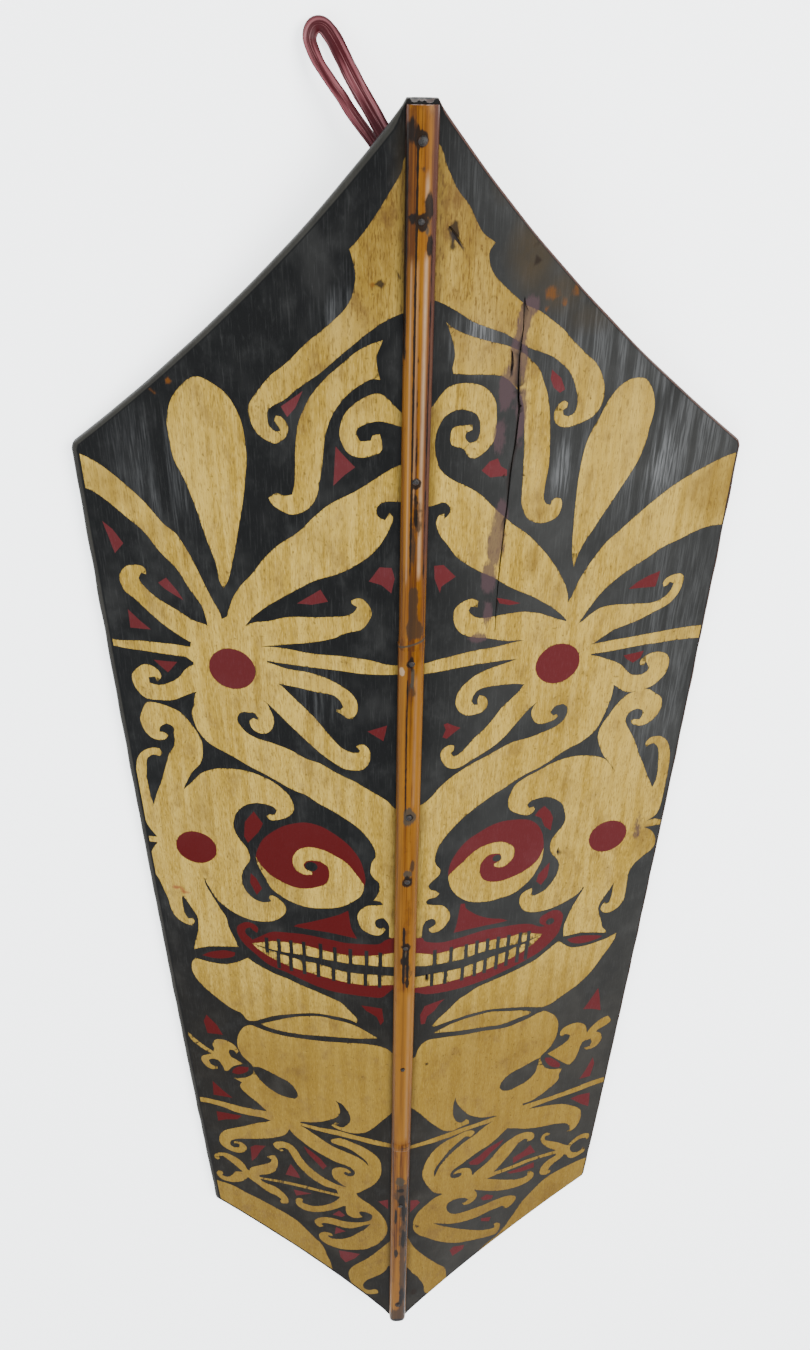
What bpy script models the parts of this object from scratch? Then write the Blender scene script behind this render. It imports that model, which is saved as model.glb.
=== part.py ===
"""Painted wooden dance shield, lying face up on a flat surface.

A carved plank with a V section, a split bamboo strip nailed along its ridge and
a red ribbon loop to hang it by. Metres, +Z up, +Y towards the top end, +X to the
right of the painted face. The origin is at the middle of the shield's box, on the
surface it lies on.
"""

import math

import bmesh
import bpy
from mathutils import Vector

MM = 0.001

# Outline of the board. Places along the board are measured from its top end.
BOARD_LENGTH = 1097 * MM
TIP_DEPTH = 3 * MM              # how far the two horns of the top end reach past it
TOP_HALF_WIDTH = 9.5 * MM
BOTTOM_HALF_WIDTH = 5 * MM
SHOULDER_FROM_TOP = 177 * MM
SHOULDER_HALF_WIDTH = 197.3 * MM
HEEL_FROM_BOTTOM_LEFT = 173 * MM   # lower shoulders, each where the knife turned
HEEL_FROM_BOTTOM_RIGHT = 183 * MM
HEEL_HALF_WIDTH_LEFT = 174.5 * MM
HEEL_HALF_WIDTH_RIGHT = 181 * MM
SIDE_BOW = 2.6 * MM             # the long sides swell a little between shoulder and heel
TOP_SWEEP = 0.80                # sideways slope at the start of the concave top edge
BOTTOM_SWEEP = 0.76             # the same at the bottom end

# Section of the board.
SLOPE = math.radians(11.0)      # each half falls away from the ridge
EDGE_HEIGHT = 9 * MM
PLANK_DEPTH = 10.4 * MM         # measured straight down through a half
CREST_HALF_WIDTH = 8 * MM       # flat land that the bamboo strip sits on
FOOT_LAND = 7 * MM              # flat strip under each long edge
BACK_HOLLOW_HALF_WIDTH = 6 * MM
CHAMFER_WIDTH_LEFT = 5.2 * MM
CHAMFER_WIDTH_RIGHT = 2.4 * MM
CHAMFER_DROP = 2.6 * MM
SWEEP_STATIONS = 14
SIDE_STATIONS = 10
FINE = 1e-6                     # for telling coordinates apart

# Grip, carved in one with the back of the board but kept as a solid of its own, a hair
# below it, so that the finger gap stays open for collision.
GRIP_FROM_TOP = BOARD_LENGTH / 2
GRIP_SPAN = 122 * MM            # clear length between its two roots
GRIP_ROOT = 22 * MM
GRIP_WIDTH = 25 * MM
GRIP_DEPTH = 12 * MM
GRIP_LIFT = 1.0 * MM            # its clearance over the surface
GRIP_ROUND = 3.5 * MM
GRIP_END_RAMP = 2.5             # length of the slope at each end, in rounds

# Worn end grain at the top: pit places across and their radii.
END_PITS = ((-3.2 * MM, 2.2 * MM), (0.6 * MM, 1.8 * MM), (4.0 * MM, 2.1 * MM))
PIT_SIDES = 12

# Bamboo strip.
STRIP_FROM_TOP = 2.0 * MM
STRIP_OVERHANG = 3.0 * MM       # past the board's bottom end
STRIP_HALF_WIDTH = 7.9 * MM
STRIP_LOWER_GAIN = 0.5 * MM     # the stretch below the first node is wider on its left
STRIP_DEPTH = 5.4 * MM
STRIP_FULLNESS = 2.5            # 2 is an ellipse, more is squarer
NODE_FROM_TOP = 289 * MM
NODE_FROM_BOTTOM = 297 * MM
NODE_SWELL = 0.55 * MM
NODE_HALF_LENGTH = 5 * MM
STRIP_END_ROUND = 9 * MM
STRIP_TOP_ROUND = 1 * MM
STRIP_TOP_SHARE = 0.93          # of the full section at the sawn top end
STRIP_ARCH_STEPS = 10
STRIP_STATION_GAP = 45 * MM     # longest stretch between two sections

# Iron nails down the middle of the strip, set out from whichever end is nearer.
UPPER_NAILS = (14.2 * MM, 49.4 * MM, 183.7 * MM, 302.7 * MM, 426 * MM, 485 * MM)
LOWER_NAILS = (545 * MM, 404 * MM, 209 * MM, 35 * MM)
THROUGH_NAIL = 1                # the one that holds the ribbon behind the board
NAIL_SHANK_RADIUS = 0.8 * MM
NAIL_HEAD_RADIUS = 3.0 * MM
NAIL_HEAD_DEPTH = 1.3 * MM
NAIL_DOME = ((0.35, 1.0), (0.75, 0.75), (1.0, 0.3), (0.97, 0.0))   # shares of radius and depth
NAIL_BITE = 6.0 * MM            # into the plank
NAIL_POINT_BEHIND = 9.0 * MM    # how far the through nail stands out at the back
NAIL_SIDES = 12

FIT_GAP = 0.3 * MM              # between pieces that touch

# Ribbon loop: across, from the top end, height of its middle line. Both ends are
# held by the through nail behind the board.
RIBBON_DIAMETER = 6 * MM
RIBBON_ROUTE = tuple(
    (across * MM, from_top * MM, height * MM)
    for across, from_top, height in (
        (-4.6, 47.0, 30.5), (-9.5, 39.5, 29.5), (-15.5, 29.5, 27.5), (-21.8, 18.7, 24.5),
        (-31.8, 6.7, 19.5), (-38.0, -1.6, 15.5), (-44.2, -9.3, 11.5), (-49.8, -17.5, 7.8),
        (-52.8, -25.0, 5.0), (-50.6, -30.5, 3.8), (-45.6, -30.6, 3.8), (-40.5, -24.5, 5.2),
        (-36.3, -16.8, 8.4), (-32.0, -9.3, 12.5), (-27.3, -2.0, 16.5), (-22.6, 5.0, 20.4),
        (-17.2, 13.4, 24.4), (-11.0, 23.5, 27.6), (-4.5, 33.5, 29.6), (1.2, 41.5, 30.5),
    )
)
RIBBON_SPACING = 2.4            # diameters between the points of the tube

HEEL_FROM_TOP_LEFT = BOARD_LENGTH - HEEL_FROM_BOTTOM_LEFT
HEEL_FROM_TOP_RIGHT = BOARD_LENGTH - HEEL_FROM_BOTTOM_RIGHT
NODES_FROM_TOP = (NODE_FROM_TOP, BOARD_LENGTH - NODE_FROM_BOTTOM)
NAILS_FROM_TOP = UPPER_NAILS + tuple(BOARD_LENGTH - nail for nail in LOWER_NAILS)
TOTAL_LENGTH = TIP_DEPTH + BOARD_LENGTH + STRIP_OVERHANG
Y_TOP_END = TOTAL_LENGTH / 2 - TIP_DEPTH
FALL = math.tan(SLOPE)


def along(from_top):
    """The Y of a place given by its distance from the top end."""
    return Y_TOP_END - from_top


def sweep(distance, reach, start, end, slope):
    """Half width on a concave edge that opens from start to end over its reach."""
    bend = (end - start - slope * reach) / reach**2
    return start + slope * distance + bend * distance**2


def half_width(from_top, side):
    """How far the board reaches from its ridge on one side, -1 left or 1 right."""
    heel = HEEL_FROM_TOP_LEFT if side < 0 else HEEL_FROM_TOP_RIGHT
    heel_width = HEEL_HALF_WIDTH_LEFT if side < 0 else HEEL_HALF_WIDTH_RIGHT
    if from_top <= SHOULDER_FROM_TOP:
        distance = max(from_top, 0.0)
        return sweep(distance, SHOULDER_FROM_TOP, TOP_HALF_WIDTH, SHOULDER_HALF_WIDTH, TOP_SWEEP)
    if from_top >= heel:
        distance = max(BOARD_LENGTH - from_top, 0.0)
        return sweep(distance, BOARD_LENGTH - heel, BOTTOM_HALF_WIDTH, heel_width, BOTTOM_SWEEP)
    share = (from_top - SHOULDER_FROM_TOP) / (heel - SHOULDER_FROM_TOP)
    straight = SHOULDER_HALF_WIDTH + share * (heel_width - SHOULDER_HALF_WIDTH)
    return straight + SIDE_BOW * 4 * share * (1 - share)


def ridge_height(from_top):
    """Height of the sharp ridge line, which falls a little towards the bottom end."""
    upper = EDGE_HEIGHT + SHOULDER_HALF_WIDTH * FALL
    lower = EDGE_HEIGHT + HEEL_HALF_WIDTH_LEFT * FALL
    share = (from_top - SHOULDER_FROM_TOP) / (HEEL_FROM_TOP_LEFT - SHOULDER_FROM_TOP)
    return upper + share * (lower - upper)


def face_height(from_top, across):
    """Height of the painted face, which is flat along the crest and falls away beyond it."""
    return ridge_height(from_top) - max(across, CREST_HALF_WIDTH) * FALL


def crest_height(from_top):
    """Height of the flat land along the ridge."""
    return face_height(from_top, 0.0)


def board_side(from_top, side):
    """One half of the board's section, from the crest round the edge to the hollow back."""
    width = half_width(from_top, side)
    ridge = ridge_height(from_top)
    crest = min(CREST_HALF_WIDTH, 0.8 * width)
    wanted = CHAMFER_WIDTH_LEFT if side < 0 else CHAMFER_WIDTH_RIGHT
    chamfer = min(wanted, 0.6 * (width - crest))
    land = min(FOOT_LAND, 0.4 * width)
    hollow = min(BACK_HOLLOW_HALF_WIDTH, 0.3 * width)
    face = face_height(from_top, width)
    foot = max(face - EDGE_HEIGHT, 0.0)
    inner = max(ridge - PLANK_DEPTH - (width - land) * FALL, foot)
    return (
        (side * crest, crest_height(from_top)),
        (side * (width - chamfer), face_height(from_top, width - chamfer)),
        (side * width, face - CHAMFER_DROP * chamfer / wanted),
        (side * width, foot),
        (side * (width - land), inner),
        (side * hollow, ridge - PLANK_DEPTH - hollow * FALL),
    )


def board_stations():
    """Distances from the top end at which the board's section is drawn."""
    top = [SHOULDER_FROM_TOP * step / SWEEP_STATIONS for step in range(SWEEP_STATIONS + 1)]
    heels = sorted((HEEL_FROM_TOP_LEFT, HEEL_FROM_TOP_RIGHT))
    side = [
        SHOULDER_FROM_TOP + (heels[0] - SHOULDER_FROM_TOP) * step / SIDE_STATIONS
        for step in range(1, SIDE_STATIONS + 1)
    ]
    end = [
        heels[1] + (BOARD_LENGTH - heels[1]) * step / SWEEP_STATIONS
        for step in range(0 if heels[1] > heels[0] else 1, SWEEP_STATIONS + 1)
    ]
    return [-TIP_DEPTH] + top + side + end


def skin(name, rings):
    """A closed mesh over rings of equal length, given as lists of points."""
    mesh = bpy.data.meshes.new(name)
    work = bmesh.new()
    rows = [[work.verts.new(point) for point in ring] for ring in rings]
    for first, second in zip(rows, rows[1:]):
        count = len(first)
        for index in range(count):
            after = (index + 1) % count
            work.faces.new((first[index], first[after], second[after], second[index]))
    work.faces.new(list(reversed(rows[0])))
    work.faces.new(rows[-1])
    bmesh.ops.recalc_face_normals(work, faces=work.faces)
    work.to_mesh(mesh)
    work.free()
    return mesh


def place(name, mesh, material):
    """Puts a mesh in the scene as a named object with its material."""
    piece = bpy.data.objects.new(name, mesh)
    bpy.context.scene.collection.objects.link(piece)
    if material:
        mesh.materials.append(material)
    return piece


def finish(name, colour, roughness, metallic=0.0):
    """A plain material with the piece's own colour."""
    material = bpy.data.materials.new(name)
    material.use_nodes = True
    shader = material.node_tree.nodes["Principled BSDF"]
    shader.inputs["Base Color"].default_value = (*colour, 1.0)
    shader.inputs["Roughness"].default_value = roughness
    shader.inputs["Metallic"].default_value = metallic
    return material


def as_cutter(piece):
    """Keeps a helper out of the model."""
    piece.hide_render = True
    piece.display_type = "WIRE"
    return piece


def combine(piece, other, operation):
    """Joins another closed mesh to a piece, or cuts it away."""
    modifier = piece.modifiers.new(other.name, "BOOLEAN")
    modifier.operation = operation
    modifier.solver = "EXACT"
    modifier.object = other
    as_cutter(other)


def upright_cylinder(name, radius, low, high, sides, across=0.0, from_top=0.0):
    """A closed upright cylinder between two heights."""
    rings = []
    for height in (high, low):
        ring = []
        for step in range(sides):
            turn = 2 * math.pi * step / sides
            ring.append((
                across + radius * math.cos(turn),
                along(from_top) + radius * math.sin(turn),
                height,
            ))
        rings.append(ring)
    return place(name, skin(name, rings), None)


def back_height(from_top, across):
    """Height of the board's hollow back, flat near the ridge and falling away beyond."""
    return ridge_height(from_top) - PLANK_DEPTH - max(abs(across), BACK_HOLLOW_HALF_WIDTH) * FALL


def grip_outline():
    """The grip seen from its side: outer bar, two roots and the finger gap, as (from_top, height)."""
    reach = GRIP_SPAN / 2 + GRIP_ROOT
    first = GRIP_FROM_TOP - reach
    last = GRIP_FROM_TOP + reach
    gap_first = GRIP_FROM_TOP - GRIP_SPAN / 2
    gap_last = GRIP_FROM_TOP + GRIP_SPAN / 2
    top = GRIP_LIFT + GRIP_DEPTH
    roof = back_height(first, 0.0) + GRIP_ROUND
    bevel = GRIP_ROUND
    ramp = GRIP_END_RAMP * bevel
    return (
        (first, roof),
        (first + bevel, GRIP_LIFT + bevel),
        (first + ramp, GRIP_LIFT),
        (last - ramp, GRIP_LIFT),
        (last - bevel, GRIP_LIFT + bevel),
        (last, roof),
        (gap_last, roof),
        (gap_last, top + bevel),
        (gap_last - bevel, top),
        (gap_first + bevel, top),
        (gap_first, top + bevel),
        (gap_first, roof),
    )


def build_roof_cutter():
    """A helper that fills the plank's place over the grip, down to a hair below its back."""
    reach = GRIP_SPAN / 2 + 2 * GRIP_ROOT
    rings = []
    for from_top in (GRIP_FROM_TOP - reach, GRIP_FROM_TOP + reach):
        high = ridge_height(from_top) + PLANK_DEPTH
        low = [
            (across, back_height(from_top, across) - FIT_GAP)
            for across in (-GRIP_WIDTH, -BACK_HOLLOW_HALF_WIDTH, BACK_HOLLOW_HALF_WIDTH, GRIP_WIDTH)
        ]
        section = low + [(GRIP_WIDTH, high), (-GRIP_WIDTH, high)]
        rings.append([(across, along(from_top), height) for across, height in section])
    return place("grip_roof", skin("grip_roof", rings), None)


def build_grip(material):
    """The carved grip, its long lower edges rounded and its roots following the hollow back."""
    mesh = bpy.data.meshes.new("carved_grip")
    work = bmesh.new()
    outline = [
        work.verts.new((-GRIP_WIDTH / 2, along(from_top), height))
        for from_top, height in grip_outline()
    ]
    face = work.faces.new(outline)
    moved = bmesh.ops.extrude_face_region(work, geom=[face])
    far = [item for item in moved["geom"] if isinstance(item, bmesh.types.BMVert)]
    bmesh.ops.translate(work, verts=far, vec=Vector((GRIP_WIDTH, 0, 0)))
    bmesh.ops.recalc_face_normals(work, faces=work.faces)
    level = GRIP_LIFT + FINE
    underside = [
        edge for edge in work.edges
        if all(vert.co.z < level for vert in edge.verts)
        and edge.verts[0].co.x == edge.verts[1].co.x
    ]
    bmesh.ops.bevel(work, geom=underside, offset=GRIP_ROUND, segments=3, affect="EDGES", profile=0.5)
    work.to_mesh(mesh)
    work.free()
    grip = place("carved_grip", mesh, material)
    combine(grip, build_roof_cutter(), "DIFFERENCE")
    return grip


def build_board(material):
    """The V-section plank with its nail holes and worn top end."""
    rings = []
    for from_top in board_stations():
        left = board_side(from_top, -1)
        right = board_side(from_top, 1)
        section = list(right) + list(reversed(left))
        rings.append([(across, along(from_top), height) for across, height in section])
    board = place("shield_board", skin("shield_board", rings), material)
    high = ridge_height(-TIP_DEPTH) + PLANK_DEPTH
    for number, (across, radius) in enumerate(END_PITS):
        pit = upright_cylinder(
            f"end_pit_{number + 1}", radius, 0.0, high, PIT_SIDES, across, -TIP_DEPTH
        )
        combine(board, pit, "DIFFERENCE")
    for number, from_top in enumerate(NAILS_FROM_TOP):
        crest = crest_height(from_top)
        depth = NAIL_BITE + FIT_GAP
        if number == THROUGH_NAIL:
            depth = PLANK_DEPTH + NAIL_POINT_BEHIND
        hole = upright_cylinder(
            f"board_hole_{number + 1}", NAIL_SHANK_RADIUS + FIT_GAP, crest - depth,
            crest + CREST_HALF_WIDTH, NAIL_SIDES, 0.0, from_top,
        )
        combine(board, hole, "DIFFERENCE")
    return board


def strip_swell(from_top):
    """How much the strip stands out near a node of the cane."""
    swell = 0.0
    for node in NODES_FROM_TOP:
        near = max(0.0, 1 - abs(from_top - node) / NODE_HALF_LENGTH)
        swell = max(swell, NODE_SWELL * near**0.5)
    return swell


def strip_ring(from_top, share):
    """The strip's section: flat below, a squarish arch above. share shrinks it at the ends."""
    swell = strip_swell(from_top)
    base = crest_height(from_top) + FIT_GAP
    lower = from_top > NODES_FROM_TOP[0]
    left = (STRIP_HALF_WIDTH + (STRIP_LOWER_GAIN if lower else 0.0) + swell / 2) * share**0.4
    right = (STRIP_HALF_WIDTH + swell / 2) * share**0.4
    depth = (STRIP_DEPTH + swell) * share
    ring = []
    for step in range(STRIP_ARCH_STEPS + 1):
        turn = math.pi * step / STRIP_ARCH_STEPS
        cosine = math.cos(turn)
        reach = right if cosine > 0 else left
        across = reach * math.copysign(abs(cosine) ** (2 / STRIP_FULLNESS), cosine)
        height = base + depth * math.sin(turn) ** (2 / STRIP_FULLNESS)
        ring.append((across, along(from_top), height))
    return ring


def strip_stations():
    """(from_top, share of the full section) down the strip."""
    last = BOARD_LENGTH + STRIP_OVERHANG
    marks = [(STRIP_FROM_TOP, STRIP_TOP_SHARE), (STRIP_FROM_TOP + STRIP_TOP_ROUND, 1.0)]
    for node in NODES_FROM_TOP:
        for share in (-1.0, -0.6, 0.0, 0.6, 1.0):
            marks.append((node + share * NODE_HALF_LENGTH, 1.0))
    for share in (0.0, 0.35, 0.65, 0.85, 1.0):
        fall = math.sqrt(1 - (0.9 * share) ** 2)
        marks.append((last - STRIP_END_ROUND * (1 - share), fall))
    stations = marks[:1]
    for (start, _), (end, share) in zip(marks, marks[1:]):
        steps = math.ceil((end - start) / STRIP_STATION_GAP)
        for step in range(1, steps):
            stations.append((start + (end - start) * step / steps, 1.0))
        stations.append((end, share))
    return stations


def build_strip(material):
    """The split bamboo strip along the ridge, with a hole for each nail."""
    rings = [strip_ring(from_top, share) for from_top, share in strip_stations()]
    strip = place("bamboo_ridge_strip", skin("bamboo_ridge_strip", rings), material)
    for number, from_top in enumerate(NAILS_FROM_TOP):
        crest = crest_height(from_top)
        hole = upright_cylinder(
            f"strip_hole_{number + 1}", NAIL_SHANK_RADIUS + FIT_GAP, crest - STRIP_DEPTH,
            crest + 3 * STRIP_DEPTH, NAIL_SIDES, 0.0, from_top,
        )
        combine(strip, hole, "DIFFERENCE")
    strip.data.shade_smooth()
    strip.data.set_sharp_from_angle(angle=math.radians(35))
    return strip


def build_nail(number, from_top, material):
    """A nail with a low domed head, its shank running through strip and plank."""
    seat = crest_height(from_top) + STRIP_DEPTH + strip_swell(from_top) + 2 * FIT_GAP
    point = crest_height(from_top) - NAIL_BITE
    if number == THROUGH_NAIL:
        point = crest_height(from_top) - PLANK_DEPTH - NAIL_POINT_BEHIND + FIT_GAP
    profile = [
        (radius * NAIL_HEAD_RADIUS, seat + rise * NAIL_HEAD_DEPTH) for radius, rise in NAIL_DOME
    ]
    profile += [
        (NAIL_SHANK_RADIUS, seat),
        (NAIL_SHANK_RADIUS, point + 2 * NAIL_SHANK_RADIUS),
        (0.3 * NAIL_SHANK_RADIUS, point),
    ]
    rings = []
    for radius, height in profile:
        turns = [2 * math.pi * step / NAIL_SIDES for step in range(NAIL_SIDES)]
        rings.append([
            (radius * math.cos(turn), along(from_top) + radius * math.sin(turn), height)
            for turn in turns
        ])
    name = f"ridge_nail_{number + 1}"
    nail = place(name, skin(name, rings), material)
    nail.data.shade_smooth()
    nail.data.set_sharp_from_angle(angle=math.radians(40))
    return nail


def smooth_route(points, spacing):
    """Points read at an even spacing from a smooth curve through the given ones."""
    fine = []
    for index in range(len(points) - 1):
        before = points[max(index - 1, 0)]
        start, end = points[index], points[index + 1]
        after = points[min(index + 2, len(points) - 1)]
        for step in range(12):
            t = step / 12
            fine.append(0.5 * (
                2 * start + (end - before) * t
                + (2 * before - 5 * start + 4 * end - after) * t**2
                + (3 * start - before - 3 * end + after) * t**3
            ))
    fine.append(points[-1])
    length = sum((b - a).length for a, b in zip(fine, fine[1:]))
    wanted = max(2, round(length / spacing))
    even = [fine[0]]
    walked = 0.0
    for a, b in zip(fine, fine[1:]):
        piece = (b - a).length
        while len(even) < wanted and walked + piece >= length * len(even) / wanted:
            share = (length * len(even) / wanted - walked) / piece
            even.append(a.lerp(b, share))
        walked += piece
    even.append(fine[-1])
    return even


def build_ribbon(material):
    """The hanging loop as a plain tube along its middle line."""
    route = [Vector((across, along(from_top), height)) for across, from_top, height in RIBBON_ROUTE]
    points = smooth_route(route, RIBBON_SPACING * RIBBON_DIAMETER / 2)
    curve = bpy.data.curves.new("hanging_ribbon", "CURVE")
    curve.dimensions = "3D"
    curve.bevel_depth = RIBBON_DIAMETER / 2
    curve.bevel_resolution = 2
    curve.use_fill_caps = True
    spline = curve.splines.new("POLY")
    spline.points.add(len(points) - 1)
    for target, point in zip(spline.points, points):
        target.co = (*point, 1.0)
    curve.materials.append(material)
    ribbon = bpy.data.objects.new("hanging_ribbon", curve)
    bpy.context.scene.collection.objects.link(ribbon)
    return ribbon


def main():
    """Clears the scene and builds every piece."""
    for old in list(bpy.data.objects):
        bpy.data.objects.remove(old, do_unlink=True)
    painted = finish("painted wood", (0.045, 0.05, 0.055), 0.62)
    cane = finish("bamboo", (0.42, 0.17, 0.035), 0.35)
    iron = finish("iron", (0.09, 0.075, 0.07), 0.5, 0.8)
    raffia = finish("red ribbon", (0.33, 0.04, 0.06), 0.45)
    build_board(painted)
    build_grip(painted)
    build_strip(cane)
    for number, from_top in enumerate(NAILS_FROM_TOP):
        build_nail(number, from_top, iron)
    build_ribbon(raffia)


main()
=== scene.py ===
"""Painted wooden dance shield: the finished shield over the plain solids of its part.

Metres, +Z up out of the painted face, +Y towards the top end, +X to the right.
"""

import logging
import math
import random
from dataclasses import dataclass
from enum import Enum
from typing import Any, Iterable, Optional, Sequence

import bmesh
import bpy
import numpy as np
from mathutils import Euler, Matrix, Vector, geometry, noise


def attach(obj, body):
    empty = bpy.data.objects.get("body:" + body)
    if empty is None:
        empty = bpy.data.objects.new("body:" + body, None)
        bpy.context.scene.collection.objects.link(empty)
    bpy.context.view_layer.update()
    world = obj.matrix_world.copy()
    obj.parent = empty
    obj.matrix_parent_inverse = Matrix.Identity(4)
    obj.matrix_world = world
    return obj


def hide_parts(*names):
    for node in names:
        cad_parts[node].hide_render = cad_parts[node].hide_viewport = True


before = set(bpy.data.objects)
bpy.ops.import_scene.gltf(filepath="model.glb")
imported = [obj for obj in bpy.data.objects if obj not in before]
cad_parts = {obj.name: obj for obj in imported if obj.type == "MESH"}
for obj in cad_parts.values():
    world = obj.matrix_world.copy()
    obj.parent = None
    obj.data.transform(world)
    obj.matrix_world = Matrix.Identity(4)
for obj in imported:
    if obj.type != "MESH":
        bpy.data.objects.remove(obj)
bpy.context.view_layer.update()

LOG = logging.getLogger("dance_shield")

MM = 0.001
SEED = 41
DISC_POINTS = 14
LINE_HALVES = (1.4, 1.5)
LIFT_FROM = 45

Point = tuple[float, float]
Place = tuple[float, float, float]


class Paint(Enum):
    """What covers a patch of the board, as stored on its faces."""

    GROUND = 0.0
    RED = 1.0
    BARE = 2.0
    BACK = 3.0


@dataclass(frozen=True)
class Motif:
    """One painted form: its paint and its outline in mm, across from the ridge and down from the top."""

    name: str
    paint: Paint
    points: tuple[Point, ...]
    curved: bool = True


def path(text: str) -> tuple[Point, ...]:
    """Reads places written as across,down with spaces between them."""
    return tuple((float(across), float(down)) for across, down in (word.split(",") for word in text.split()))


def disc(name: str, paint: Paint, across: float, down: float, radius: float) -> Motif:
    """A round motif.

    Args:
        name: What it is.
        paint: Its paint.
        across: Middle, mm from the ridge.
        down: Middle, mm from the top end.
        radius: Radius in mm.

    Returns:
        The motif.
    """
    turns = [2 * math.pi * step / DISC_POINTS for step in range(DISC_POINTS)]
    points = tuple((across + radius * math.cos(turn), down + radius * math.sin(turn)) for turn in turns)
    return Motif(name, paint, points)


def shards(paint: Paint, outlines: Iterable[str]) -> list[Motif]:
    """Small straight-sided fillings between the larger forms.

    Args:
        paint: Their paint.
        outlines: Their corners, each a text of places.

    Returns:
        One motif for each outline.
    """
    return [Motif("shard", paint, path(outline), curved=False) for outline in outlines]


def tooth_lines(places: Sequence[float], start: float, end: float, lift: float = 0.0) -> list[Motif]:
    """Black lines between the teeth.

    Args:
        places: Distances of the lines from the ridge, mm.
        start: Upper end, mm from the top.
        end: Lower end, mm from the top.
        lift: How much the row rises for each mm across.

    Returns:
        One motif for each line.
    """
    lines = []
    for across in places:
        rise = lift * max(across - LIFT_FROM, 0)
        upper, lower = start - rise, end - rise
        near, far = LINE_HALVES
        corners = (
            (across - near, upper), (across + far, upper), (across + near, lower), (across - far, lower))
        lines.append(Motif("tooth line", Paint.GROUND, corners, curved=False))
    return lines


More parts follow.
